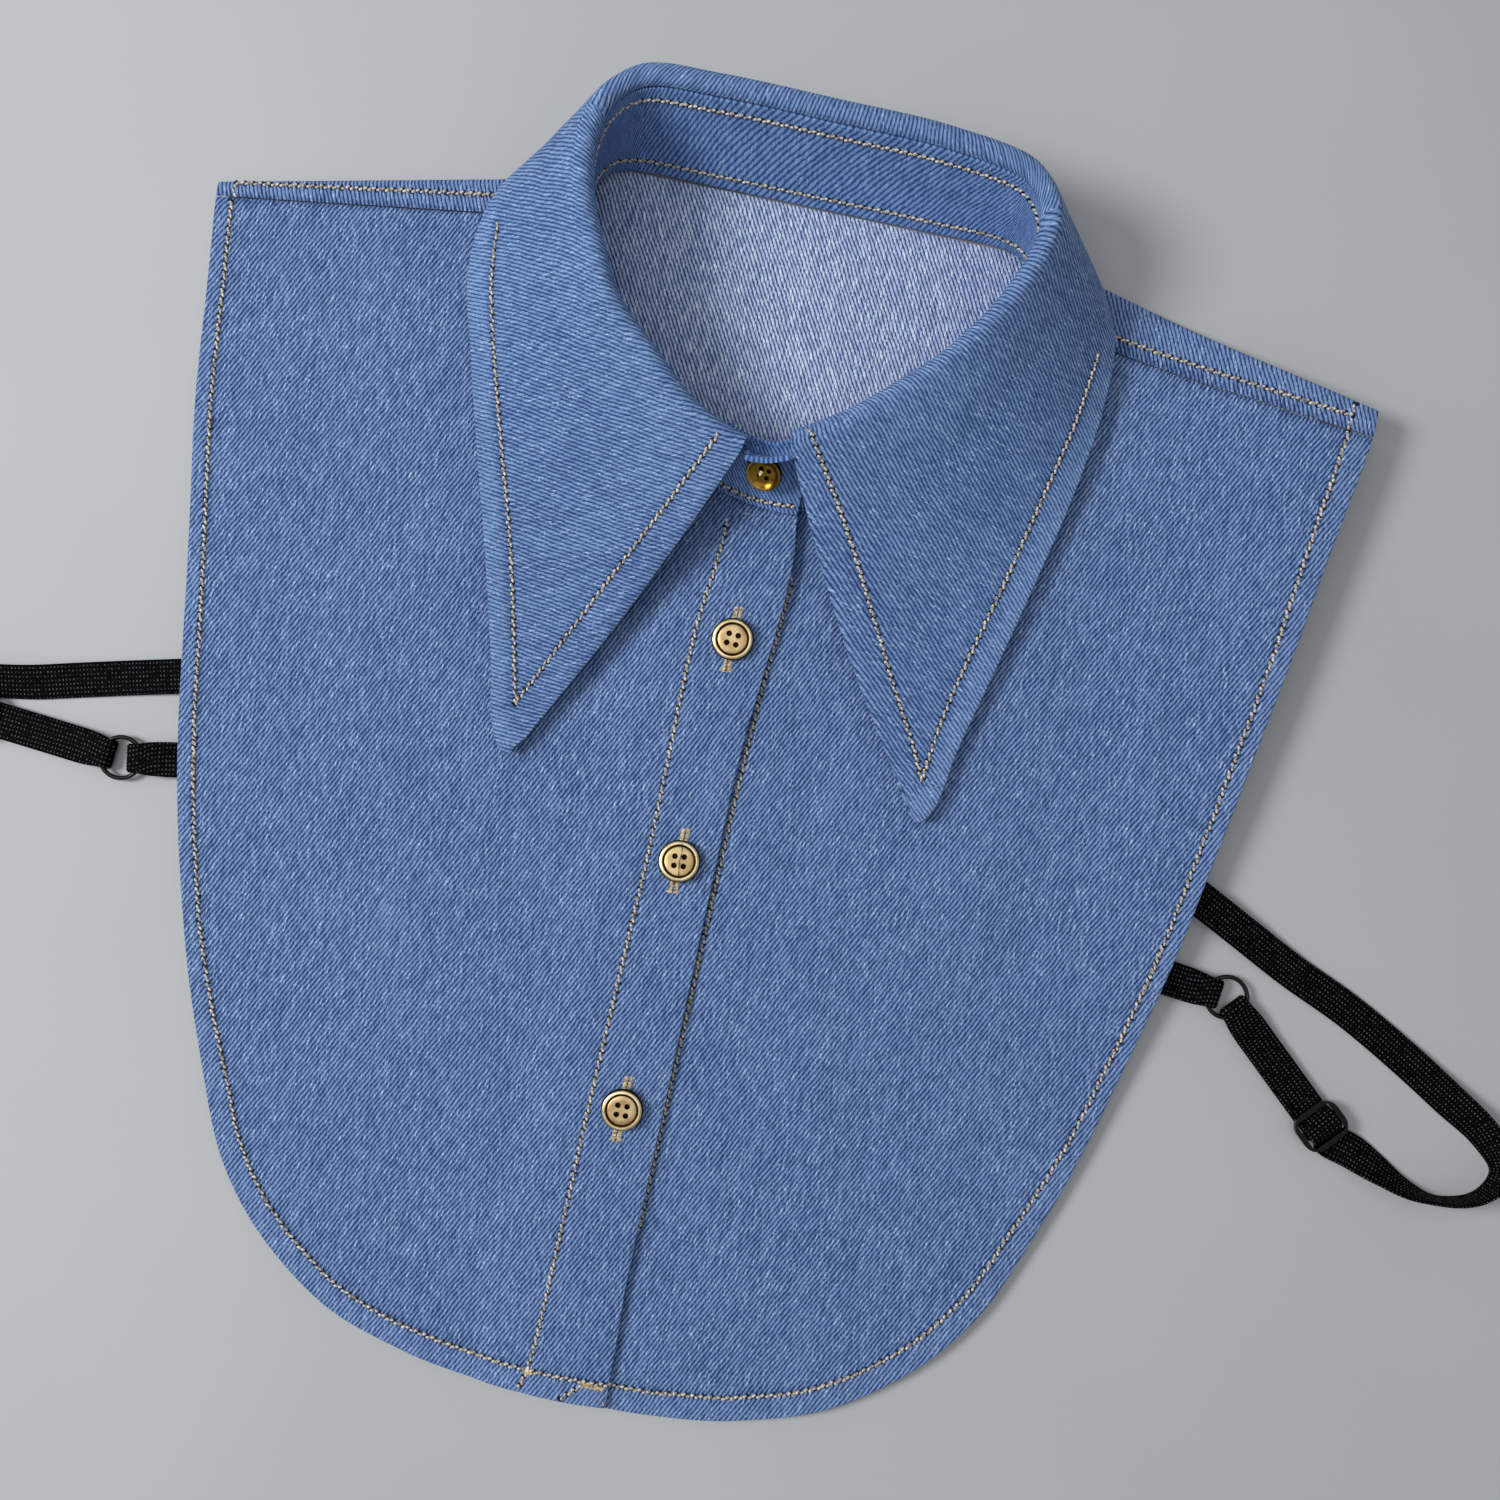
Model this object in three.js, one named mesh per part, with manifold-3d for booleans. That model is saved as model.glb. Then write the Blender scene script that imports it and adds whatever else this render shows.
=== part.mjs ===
// A detachable denim shirt collar (dickey), buttoned and laid flat on its back.
// Millimetres, +X to the right of someone who looks at its front, +Y towards the back of the neck, +Z up.
// Right and left are the onlooker's: the front on the left, front_over, lies over the other, front_under.
// The origin is on the flat underside of the back panel, on the centre line. Each cut piece is a wall of cloth.
import * as THREE from 'three';
import * as BufferGeometryUtils from 'three/addons/utils/BufferGeometryUtils.js';
import Module from 'manifold-3d';

const wasm = await Module();
wasm.setup();

// Cloth
const PANEL = 1.2;            // thickness of a panel with its turned edge
const DOUBLED = 1.6;          // thickness of the stand and of the fall, two cloths each
const LAYER_GAP = 0.5;        // air between two panels that lie on each other
const BUTTED = 0.35;          // gap at a butted seam

// Panels
const HALF_SHOULDER = 168;    // centre line to shoulder tip
// The shoulders, as they lie: the forward seam's Y at the tip and the ring row where it meets the neck,
// and the fold's Y at the tip and how far it climbs towards the neck for each millimetre
const SHOULDER = {
  right: { seam_y: 120.8, seam_row: 5.05, fold_y: 128.4, fold_rise: 0.243 },
  left: { seam_y: 122.3, seam_row: 5.2, fold_y: 126.4, fold_rise: 0.22 },
};
const CURLED_IN = 5;          // how much less far the raised right side reaches
const WRAP_INNER = 66.8;      // where the folded shoulder strip meets the neck
const WRAP_ROUND = 0.67;      // share of the folded strip's rows that go round the fold
const NECK_BACK_Y = 154.3;    // straight back of the neckline
const FRONT_REACH = 12;       // how far each front passes the centre line
const FRONT_START = 0.68;     // ring row where a front's own edge meets the neck, past the centre
const PLACKET_SHARE = 0.25;   // share of the front over which the placket edge's bow dies out

// Elastics
const ELASTIC_WIDTH = 10;
const ELASTIC = 1.0;
const WIRE_RADIUS = 0.65;
const RING_RADIUS = 5.85;     // middle of the wire
const RING_HEIGHT = 1.98;     // middle of the wire above the table
const SLIDER = { across: 14, along: 12, thick: 1.4, bar: 1.5, middle_bar: 1.6, corner: 4.2, height: 2.75 };

// Side and hem of the fronts, from the shoulder tip down to the centre: half width at a height Y
const FRONT_OUTLINE = [
  { half: 168, y: 121.6 }, { half: 165.5, y: 100 }, { half: 162, y: 68 }, { half: 157, y: 34 },
  { half: 152, y: 0 }, { half: 146.5, y: -34 }, { half: 139, y: -67 }, { half: 131, y: -95 },
  { half: 120.5, y: -122 }, { half: 109.5, y: -145 }, { half: 94, y: -163.6 }, { half: 72, y: -179.3 },
  { half: 48, y: -187.3 }, { half: 24, y: -190.6 }, { half: 0, y: -191.2 }, { half: -FRONT_REACH, y: -190.6 },
];
// Side and hem of the back panel, which stays inside the fronts: half width at a height Y
const BACK_OUTLINE = [
  { half: 34, y: -158 }, { half: 62, y: -152.5 }, { half: 84, y: -142 }, { half: 101, y: -126 },
  { half: 114, y: -104 }, { half: 124, y: -76 }, { half: 132, y: -46 }, { half: 139, y: -12 },
  { half: 144, y: 24 }, { half: 148, y: 60 }, { half: 153.5, y: 92 }, { half: 161, y: 114 },
  { half: HALF_SHOULDER, y: 127.5 },
];
// The ring round the neck, from the centre front by the right, the back and the left:
// foot of the stand and top of the stand
const RING = [
  [0, 68.9, 7.5, 0, 81.5, 19.5],
  [18, 70.6, 6.1, 17.5, 90, 21.5],
  [35, 85, 5.7, 31, 102, 23.5],
  [49, 103, 5.5, 43.5, 115, 26],
  [58.5, 119, 5.4, 52, 127, 28.3],
  [63.5, 135, 5.4, 57.6, 139, 30.3],
  [63.2, 146.5, 5.2, 60, 149.5, 31.4],
  [59.5, 152.3, 3.9, 58.6, 156.5, 31.8],
  [53, 154.6, 2.9, 53.5, 162.3, 32],
  [30, 155, 2.5, 31, 166.3, 32],
  [0, 155, 2.5, 0, 167, 32],
  [-30, 155, 2.5, -31, 167.2, 32],
  [-53, 154.6, 2.9, -51, 165.6, 32],
  [-59.5, 152.3, 3.9, -58, 159, 31.8],
  [-63.2, 146.5, 5.2, -60.4, 149, 31.4],
  [-63.5, 135, 5.4, -59, 136.5, 30.3],
  [-59.5, 119, 5.4, -54, 123.5, 28.3],
  [-50, 103, 5.5, -46.5, 110, 26],
  [-36, 88, 5.9, -34, 98.5, 23.5],
  [-18, 74.6, 7.2, -18.5, 87, 21.5],
].map(([foot_x, foot_y, foot_z, top_x, top_y, top_z]) => ({ foot_x, foot_y, foot_z, top_x, top_y, top_z }));
const STAND_END = 0.66;       // how far each end of the stand runs past the centre front, in ring rows
const STAND_BOW = 0.8;        // outward bow of the stand between foot and top
const END_SHIFT = 1.1;        // the stand's ends pass each other, half this far in and out of the ring

// Outer edge of the fall, from the right leaf's front corner round the neck to the left leaf's:
// ring row that it hangs from, place of the edge, and how quickly the cloth drops to it
const FALL_EDGE = [
  [0.36, 60.3, -6.4, 6.4, 2.1],
  [0.42, 63.6, -9.9, 6.3, 2.1],
  [0.52, 66.9, -5.6, 6.4, 2.1],
  [1.0, 70, 12, 6.6, 2.1],
  [2.0, 75.6, 36, 6.7, 2.0],
  [3.0, 81.2, 61, 6.9, 1.8],
  [4.0, 86.3, 86, 7.2, 1.5],
  [5.0, 89.6, 112, 7.6, 1.25],
  [6.0, 88.8, 133, 7.6, 1.1],
  [7.0, 82, 149, 4.6, 1.0],
  [8.0, 68, 165, 2.2, 0.9],
  [9.0, 36, 181, 1.4, 0.8],
  [10.0, 0, 183.5, 1.3, 0.8],
  [11.0, -36, 182.5, 1.4, 0.8],
  [12.0, -64, 171, 2.2, 0.9],
  [13.0, -79, 154, 4.0, 1.0],
  [14.0, -89.5, 136, 7.4, 1.1],
  [15.0, -92, 116, 7.6, 1.25],
  [16.0, -86.5, 92, 7.2, 1.5],
  [17.0, -79, 65, 6.9, 1.8],
  [18.0, -71, 38, 6.8, 2.0],
  [19.0, -63.5, 10, 6.7, 2.1],
  [19.52, -58.8, -9.5, 6.5, 2.1],
  [19.68, -54.4, -15.0, 6.4, 2.1],
  [19.76, -49.4, -9.6, 6.5, 2.1],
].map(([ring, x, y, z, drop]) => ({ ring, x, y, z, drop }));
// Section of the roll above the stand's top: along the stand, and square to it outwards
const ROLL = [[0.6 + BUTTED, 0], [2.4, 0.15], [3.7, 1.6], [3.6, 3.5], [1.9, 4.9]]
  .map(([along, out]) => ({ along, out }));
const ROLL_SHARE = 0.4;       // rows of the fall's wall that the roll takes
const LEAF_BOW = { right: 2.4, left: 0.8, share: 0.2 };

// Loops of elastic on the table: place of the middle of the tape, and its turn on edge in degrees.
// They start at the back panel's side and end where the slider begins.
const LOOPS = {
  right: [
    [136.5, -10, 4.6, 0], [148, -15.5, 4.1, 0], [160, -21.3, 2.7, 0], [177, -29.5, 1.0, 0],
    [195, -37.2, 0.55, 0], [212, -46.2, 0.6, 3], [228, -55.8, 1.5, 14], [240.5, -64.2, 3.2, 40],
    [246, -73, 4.8, 72], [241, -80.6, 5.15, 88], [231, -84, 5.15, 88], [220.5, -82.7, 4.5, 62],
    [211, -79, 3.0, 34], [203.5, -76, 1.9, 10],
  ],
  left: [
    [-140.6, -10.8, 1.9, 0], [-151, -13.4, 1.3, 0], [-164, -16.6, 0.7, 0], [-178, -20.2, 0.7, -3],
    [-192, -23.8, 1.4, -12], [-206, -25.9, 2.4, -22], [-222, -26.4, 2.8, -28], [-237, -28.2, 3.6, -45],
    [-246.5, -34, 4.8, -74], [-246, -42, 5.15, -88], [-237, -46.5, 5.15, -88], [-227, -44, 3.6, -46],
    [-219.5, -40, 2.2, -20],
  ],
};
const RINGS = { right: [160.2, -40.6], left: [-161.6, -39.3] };
const SLIDERS = { right: [193.4, -70.6], left: [-204.5, -35.6] };
const TAB_STARTS = { right: [137.8, -38.2], left: [-138.2, -35.4] };
// The elastic's way through the slider, seen from the side: distance from its middle bar, less than 0 towards
// the ring, and height of the tape's middle
const OVER_SLIDER = [
  [5.6, 1.75], [4.3, 1.95], [3.5, 3.0], [2.8, 4.7], [1.6, 6.05], [0, 6.4],
  [-1.6, 6.05], [-2.7, 4.7], [-3.5, 2.95], [-4.4, 2.05], [-5.8, 1.95], [-9, 1.95], [-16, 1.95],
].map(([along, height]) => ({ along, height }));
const ROUND_MIDDLE_BAR = [
  [-16, 0.52], [-9, 0.52], [-5.5, 0.52], [-3.4, 0.72], [-1.6, 1.45], [-0.1, 1.8], [1.2, 2.2],
  [1.72, 3.4], [1.25, 4.55], [0.2, 5.0], [-1.0, 4.98],
].map(([along, height]) => ({ along, height }));
// ... and through the round ring: distance from the ring's centre, height and width of the tape
const ROUND_RING = [
  [14, 2.2, 10], [9, 3.0, 9.6], [5.8, 3.5, 8.6], [3.9, 3.5, 8.3], [2.75, 3.1, 8.2], [2.2, 1.98, 8.2],
  [2.75, 0.88, 8.2], [3.9, 0.52, 8.3], [5.8, 0.52, 8.6], [9, 0.52, 9.6], [14, 0.52, 10],
].map(([along, height, width]) => ({ along, height, width }));

const COLOURS = {
  denim: 0x5f78a6, denim_fall: 0x5b76a8, brass: 0xb0935a, dark_brass: 0x8a6a2c, elastic: 0x101012, metal: 0x141416,
};

// ---- heights of the layers -------------------------------------------------------------------------------

/** A soft step from 0 to 1 while x goes from 0 to 1. */
function soft(x) {
  const t = THREE.MathUtils.clamp(x, 0, 1);
  return t * t * (3 - 2 * t);
}

/** Height of the garment's underside: the right side curls up, the left lifts a little where the tab passes. */
function lift(x, y) {
  const right = 9 * soft((x - 95) / 75) * soft((y + 150) / 200);
  const left = 1.6 * soft((-x - 105) / 40) * soft((y + 110) / 60) * soft((95 - y) / 80);
  return right + left;
}

/** X of a point of the panels: the raised right side reaches less far, and the left one bends in a little. */
function curledIn(x, y) {
  const depth = CURLED_IN - 1.4 * soft((y - 70) / 50);
  const left = 1.3 * soft((-x - 90) / 50) * soft((y + 170) / 60) * soft((70 - y) / 60);
  return x - depth * soft((x - 80) / 80) * soft((y + 190) / 130) + left;
}

/** Middle of the fronts' wall above the back panel, with their soft swell and the rise to the neck seam. */
function frontHeight(x, y) {
  const swell = 1.3 * Math.exp(-(((Math.abs(x) - 98) / 38) ** 2) - ((y - 10) / 75) ** 2);
  const from_ring = Math.max(0, Math.hypot(x / 64, (y - 112) / 43) - 1);
  const neck = 1.5 * Math.exp(-2.5 * from_ring);
  return lift(x, y) + PANEL + LAYER_GAP + PANEL / 2 + swell + neck;
}

/** The left front passes over the right one at the centre. */
function overlapStep(x) {
  return (PANEL + LAYER_GAP) * soft((x + 32) / 15);
}

// ---- shapes ----------------------------------------------------------------------------------------------

/** A smooth curve through the rows of a table. */
function curveThrough(rows, keys, closed = false) {
  const points = rows.map((row) => new THREE.Vector3(...keys.map((key) => (key ? row[key] : 0))));
  return new THREE.CatmullRomCurve3(points, closed, 'centripetal');
}

const ring_foot = curveThrough(RING, ['foot_x', 'foot_y', 'foot_z'], true);
const ring_top = curveThrough(RING, ['top_x', 'top_y', 'top_z'], true);
const front_outline = curveThrough(FRONT_OUTLINE, ['half', 'y', null]);
const back_outline = curveThrough(BACK_OUTLINE, ['half', 'y', null]);
const fall_edge = curveThrough(FALL_EDGE, ['x', 'y', 'z']);
const fall_hang = curveThrough(FALL_EDGE, ['ring', 'drop', null]);
const roll = curveThrough(ROLL, ['along', 'out', null]);

/** Share of the way round the ring at a row number, which may run past either end. */
function roundRing(row) {
  return THREE.MathUtils.euclideanModulo(row / RING.length, 1);
}

/** Horizontal outward direction of the ring at a row number. */
function outwards(row) {
  const tangent = ring_foot.getTangent(roundRing(row));
  return new THREE.Vector3(tangent.y, -tangent.x, 0).normalize();
}

/** The stand's ends pass each other at the front: the first runs inside the ring, the last outside. */
function endShift(row) {
  return END_SHIFT * (soft((row - RING.length + 2.4) / 1.6) - soft((2.4 - row) / 1.6));
}

/** A closed wall of cloth: a grid of points, moved half the thickness to each side along its own normals. */
function wall(columns, rows, place, thickness, keep = () => true) {
  const grid = [];
  for (let j = 0; j <= rows; j += 1) {
    for (let i = 0; i <= columns; i += 1) grid.push(place(i / columns, j / rows, i, j));
  }
  const at = (i, j) => j * (columns + 1) + i;
  const cells = [];
  for (let j = 0; j < rows; j += 1) {
    for (let i = 0; i < columns; i += 1) {
      if (keep(i, j)) cells.push([at(i, j), at(i + 1, j), at(i + 1, j + 1), at(i, j + 1)]);
    }
  }
  const normals = grid.map(() => new THREE.Vector3());
  for (const cell of cells) {
    const [a, b, c, d] = cell.map((k) => grid[k]);
    const normal = new THREE.Vector3().crossVectors(c.clone().sub(a), d.clone().sub(b));
    for (const k of cell) normals[k].add(normal);
  }
  const positions = [];
  for (const side of [1, -1]) {
    grid.forEach((point, k) => {
      positions.push(...point.clone().addScaledVector(normals[k].normalize(), (side * thickness) / 2));
    });
  }
  const count = grid.length;
  const index = [];
  const sides = new Map();
  for (const [a, b, c, d] of cells) {
    index.push(a, b, c, a, c, d, a + count, c + count, b + count, a + count, d + count, c + count);
    for (const [p, q] of [[a, b], [b, c], [c, d], [d, a]]) {
      if (sides.has(`${q},${p}`)) sides.delete(`${q},${p}`);
      else sides.set(`${p},${q}`, [p, q]);
    }
  }
  for (const [p, q] of sides.values()) index.push(p, p + count, q + count, p, q + count, q);
  const geometry = new THREE.BufferGeometry();
  geometry.setAttribute('position', new THREE.Float32BufferAttribute(positions, 3));
  geometry.setIndex(index);
  return compact(geometry);
}

/** Drops the grid points that no face uses. */
function compact(geometry) {
  const loose = geometry.toNonIndexed();
  const merged = BufferGeometryUtils.mergeVertices(loose, 1e-5);
  merged.computeVertexNormals();
  return merged;
}

/** A flat tape along a route: rows of place, turn on edge and width. */
function tape(route, steps_a_row) {
  const path = new THREE.CatmullRomCurve3(route.map((r) => new THREE.Vector3(r.x, r.y, r.z)), false, 'centripetal');
  const form = new THREE.CatmullRomCurve3(
    route.map((r) => new THREE.Vector3(r.turn, r.width, 0)), false, 'centripetal');
  const steps = (route.length - 1) * steps_a_row;
  const side = new THREE.Vector3();
  const sections = [];
  for (let k = 0; k <= steps; k += 1) {
    const tangent = path.getTangent(k / steps);
    const level = new THREE.Vector3(-tangent.y, tangent.x, 0);
    if (level.length() > 0.3) side.copy(level.multiplyScalar(level.dot(side) < 0 ? -1 : 1)).normalize();
    const { x: turn, y: width } = form.getPoint(k / steps);
    const across = side.clone().applyAxisAngle(tangent, THREE.MathUtils.degToRad(turn));
    const through = new THREE.Vector3().crossVectors(tangent, across);
    const middle = path.getPoint(k / steps);
    sections.push([[1, -1], [1, 1], [-1, 1], [-1, -1]].map(([a, b]) => middle.clone()
      .addScaledVector(across, (a * width) / 2).addScaledVector(through, (b * ELASTIC) / 2)));
  }
  const index = [0, 2, 1, 0, 3, 2];
  for (let k = 0; k < steps; k += 1) {
    for (let c = 0; c < 4; c += 1) {
      const [a, b] = [4 * k + c, 4 * k + ((c + 1) % 4)];
      index.push(a, b + 4, a + 4, a, b, b + 4);
    }
  }
  const last = 4 * steps;
  index.push(last, last + 1, last + 2, last, last + 2, last + 3);
  const geometry = new THREE.BufferGeometry();
  geometry.setAttribute('position', new THREE.Float32BufferAttribute(sections.flat().flatMap((p) => [...p]), 3));
  geometry.setIndex(index);
  geometry.computeVertexNormals();
  return geometry;
}

/** A geometry as a solid that can be cut. */
function solidOf(geometry) {
  const bare = new THREE.BufferGeometry();
  bare.setAttribute('position', geometry.getAttribute('position'));
  bare.setIndex(geometry.getIndex());
  const merged = BufferGeometryUtils.mergeVertices(bare, 1e-4);
  const mesh = new wasm.Mesh({
    numProp: 3,
    vertProperties: new Float32Array(merged.getAttribute('position').array),
    triVerts: new Uint32Array(merged.getIndex().array),
  });
  return new wasm.Manifold(mesh);
}

/** A cut solid as a geometry again. */
function geometryOf(solid) {
  const { vertProperties, triVerts } = solid.getMesh();
  const geometry = new THREE.BufferGeometry();
  geometry.setAttribute('position', new THREE.BufferAttribute(new Float32Array(vertProperties), 3));
  geometry.setIndex(new THREE.BufferAttribute(new Uint32Array(triVerts), 1));
  geometry.computeVertexNormals();
  return geometry;
}

// ---- cut pieces ------------------------------------------------------------------------------------------

/** The back panel lies on the table and folds forward over both shoulders to the seam. */
function backPanel() {
  const half_columns = 11;
  const neck_columns = 4;
  const body_rows = 13;
  const wrap_rows = 6;
  const hem_y = BACK_OUTLINE[0].y;
  const neck_share = WRAP_INNER / HALF_SHOULDER;
  const place = (u, v, i, j) => {
    const column = i - half_columns;
    const sign = Math.sign(column);
    const count = Math.abs(column);
    const share = count <= neck_columns ? neck_share * (count / neck_columns)
      : THREE.MathUtils.lerp(neck_share, 1, (count - neck_columns) / (half_columns - neck_columns));
    const reach = share * HALF_SHOULDER;
    if (j > body_rows) return wrapPoint(sign, reach, (j - body_rows) / wrap_rows);
    const edge = back_outline.getPoint(j / body_rows);
    const highest = count <= neck_columns ? NECK_BACK_Y : foldLine(reach, sign) - foldRadius(reach, sign);
    const rise = (edge.y - hem_y) / (BACK_OUTLINE.at(-1).y - hem_y);
    const y = THREE.MathUtils.lerp(edge.y, highest, soft(rise * 1.6 - 0.6));
    const x = curledIn(sign * share * edge.x, y);
    return new THREE.Vector3(x, y, lift(x, y) + PANEL / 2);
  };
  const keep = (i, j) => j < body_rows || Math.abs(i + 0.5 - half_columns) > neck_columns;
  return wall(2 * half_columns, body_rows + wrap_rows, place, PANEL, keep);
}

/** The shoulder's fold and seam: Y at a distance from the centre line. */
function foldLine(reach, sign) {
  const { fold_y, fold_rise } = shoulderOf(sign);
  return fold_y + fold_rise * (HALF_SHOULDER - reach);
}

function seamLine(reach, sign) {
  const { seam_y, seam_row } = shoulderOf(sign);
  const neck = ring_foot.getPoint(roundRing(sign * seam_row));
  return THREE.MathUtils.mapLinear(reach, HALF_SHOULDER, Math.abs(neck.x), seam_y, neck.y);
}

function shoulderOf(sign) {
  return SHOULDER[sign > 0 ? 'right' : 'left'];
}

/** Radius of the shoulder fold, half the height between its two layers. */
function foldRadius(reach, sign) {
  const x = curledIn(sign * reach, foldLine(reach, sign));
  return (frontHeight(x, seamLine(reach, sign)) - lift(x, foldLine(reach, sign)) - PANEL / 2) / 2;
}

/** The folded strip over a shoulder: half round the fold, then forward to the seam. */
function wrapPoint(sign, reach, t) {
  const radius = foldRadius(reach, sign);
  const fold_y = foldLine(reach, sign) - radius;
  const seam_y = Math.min(seamLine(reach, sign) + BUTTED, fold_y - 0.2);
  const x = curledIn(sign * reach, fold_y);
  const low = lift(x, fold_y) + PANEL / 2;
  if (t <= WRAP_ROUND) {
    const angle = (t / WRAP_ROUND) * Math.PI;
    return new THREE.Vector3(x, fold_y + radius * Math.sin(angle), low + radius * (1 - Math.cos(angle)));
  }
  const share = (t - WRAP_ROUND) / (1 - WRAP_ROUND);
  const y = THREE.MathUtils.lerp(fold_y, seam_y, share);
  return new THREE.Vector3(x, y, THREE.MathUtils.lerp(low + 2 * radius, frontHeight(x, seam_y), share));
}

/** The fold at the placket's free edge isn't straight: how far out it is from its middle stretch. */
function placketBow(y) {
  return 3.5 * soft((y + 10) / 60) + 1.2 * soft((-150 - y) / 35) - 1.8;
}

/** A front: ruled from the neckline to the side and hem, from its own edge at the centre to the shoulder. */
function frontPanel(sign) {
  const over = sign < 0;
  const { seam_y, seam_row } = shoulderOf(sign);
  const place = (s, t) => {
    const row = sign * THREE.MathUtils.lerp(-FRONT_START, seam_row, s);
    const neck = ring_foot.getPoint(roundRing(row));
    const hem = front_outline.getPointAt(1 - s);
    hem.y += (seam_y - FRONT_OUTLINE[0].y) * soft(hem.y / FRONT_OUTLINE[0].y);
    const y = THREE.MathUtils.lerp(neck.y, hem.y, t);
    const straight_x = THREE.MathUtils.lerp(neck.x, sign * hem.x, t);
    const bow = over ? placketBow(y) * (1 - soft(s / PLACKET_SHARE)) * soft(t / 0.06) : 0;
    const x = curledIn(straight_x, y) + bow;
    return new THREE.Vector3(x, y, frontHeight(x, y) + (over ? overlapStep(x) : 0));
  };
  return wall(20, 12, over ? (s, t) => place(s, 1 - t) : place, PANEL);
}

/** The stand: a band on edge round the neck, whose two ends pass each other at the front. */
function collarStand() {
  const place = (u, v) => {
    const row = THREE.MathUtils.lerp(-STAND_END, RING.length + STAND_END, u);
    return standPoint(row, v);
  };
  return wall(54, 3, place, DOUBLED);
}

function standPoint(row, share) {
  const foot = ring_foot.getPoint(roundRing(row));
  const top = ring_top.getPoint(roundRing(row));
  const bow = STAND_BOW * soft((Math.min(row, RING.length - row) - 0.6) / 1.5);
  const out = endShift(row) + bow * Math.sin(Math.PI * share);
  return foot.lerp(top, share).addScaledVector(outwards(row), out);
}

/** The fall: it rolls over the stand's top, drops behind the neck and ends in two long leaves in front. */
function collarFall() {
  return wall(2 * (FALL_EDGE.length - 1), 10, fallPoint, DOUBLED);
}

function fallPoint(u, v) {
  const { x: row, y: drop } = fall_hang.getPoint(u);
  const foot = standPoint(row, 0);
  const top = standPoint(row, 1);
  const along = top.clone().sub(foot).normalize();
  const outward = outwards(row);
  const square = outward.clone().addScaledVector(along, -outward.dot(along)).normalize();
  const rolled = (t) => {
    const section = roll.getPoint(t);
    return top.clone().addScaledVector(along, section.x).addScaledVector(square, section.y);
  };
  if (v <= ROLL_SHARE) return rolled(v / ROLL_SHARE);
  const t = (v - ROLL_SHARE) / (1 - ROLL_SHARE);
  const high = rolled(1);
  const low = fall_edge.getPoint(u);
  const point = high.clone().lerp(low, t);
  point.x -= leafBow(u) * Math.sin(Math.PI * t);
  point.z = low.z + (high.z - low.z) * (1 - t) ** drop;
  return point;
}

/** Each leaf's front edge bows a little towards the centre line. */
function leafBow(u) {
  return LEAF_BOW.right * (1 - soft(u / LEAF_BOW.share)) - LEAF_BOW.left * (1 - soft((1 - u) / LEAF_BOW.share));
}

// ---- elastics, rings and sliders -------------------------------------------------------------------------

/** A point on the straight line from the ring to the slider. */
function onLine(from, to, distance, height, width) {
  const run = new THREE.Vector2(to[0] - from[0], to[1] - from[1]).normalize();
  return { x: from[0] + run.x * distance, y: from[1] + run.y * distance, z: height, turn: 0, width };
}

/** The long elastic: round its loop, over the slider, through the ring and back to the slider's middle bar. */
function elasticRoute(side) {
  const [ring, slider] = [RINGS[side], SLIDERS[side]];
  const between = Math.hypot(slider[0] - ring[0], slider[1] - ring[1]);
  return [
    ...LOOPS[side].map(([x, y, z, turn]) => ({ x, y, z, turn, width: ELASTIC_WIDTH })),
    ...OVER_SLIDER.map((r) => onLine(ring, slider, between + r.along, r.height, ELASTIC_WIDTH)),
    ...ROUND_RING.map((r) => onLine(ring, slider, r.along, r.height, r.width)),
    ...ROUND_MIDDLE_BAR.map((r) => onLine(ring, slider, between + r.along, r.height, ELASTIC_WIDTH)),
  ];
}

/** The short tab: from the front's side edge through the ring and back on itself. */
function tabRoute(side) {
  const [ring, start] = [RINGS[side], TAB_STARTS[side]];
  const between = Math.hypot(start[0] - ring[0], start[1] - ring[1]);
  const lower = [[between, 0.55], [between - 5, 0.55]];
  const upper = [[between - 5, 1.95], [between, 1.95]];
  const rows = (list) => list.map(([along, height]) => onLine(ring, start, along, height, ELASTIC_WIDTH));
  const folded = ROUND_RING.map((r) => onLine(ring, start, r.along, r.height, r.width));
  return [...rows(lower), ...folded.reverse(), ...rows(upper)];
}

/** The round ring, a hoop of wire that lies flat. */
function ringHoop() {
  return new THREE.TorusGeometry(RING_RADIUS, WIRE_RADIUS, 6, 24);
}

/** The slider: a rounded frame with a middle bar, lying flat. */
function sliderFrame() {
  const outline = roundedBox(SLIDER.across, SLIDER.along, SLIDER.corner, THREE.Shape);
  const window_along = (SLIDER.along - 2 * SLIDER.bar - SLIDER.middle_bar) / 2;
  for (const side of [1, -1]) {
    const middle = side * (SLIDER.middle_bar + window_along) / 2;
    outline.holes.push(roundedBox(SLIDER.across - 2 * SLIDER.bar, window_along, 0.9, THREE.Path, middle));
  }
  return new THREE.ExtrudeGeometry(outline, { depth: SLIDER.thick, bevelEnabled: false, curveSegments: 5 });
}

function roundedBox(across, along, radius, Kind, middle = 0) {
  const [a, b] = [across / 2 - radius, along / 2 - radius];
  const outline = new Kind();
  outline.moveTo(a + radius, middle - b);
  outline.absarc(a, middle + b, radius, 0, Math.PI / 2, false);
  outline.absarc(-a, middle + b, radius, Math.PI / 2, Math.PI, false);
  outline.absarc(-a, middle - b, radius, Math.PI, 1.5 * Math.PI, false);
  outline.absarc(a, middle - b, radius, 1.5 * Math.PI, 2 * Math.PI, false);
  outline.closePath();
  return outline;
}

// ---- buttons ---------------------------------------------------------------------------------------------

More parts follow.
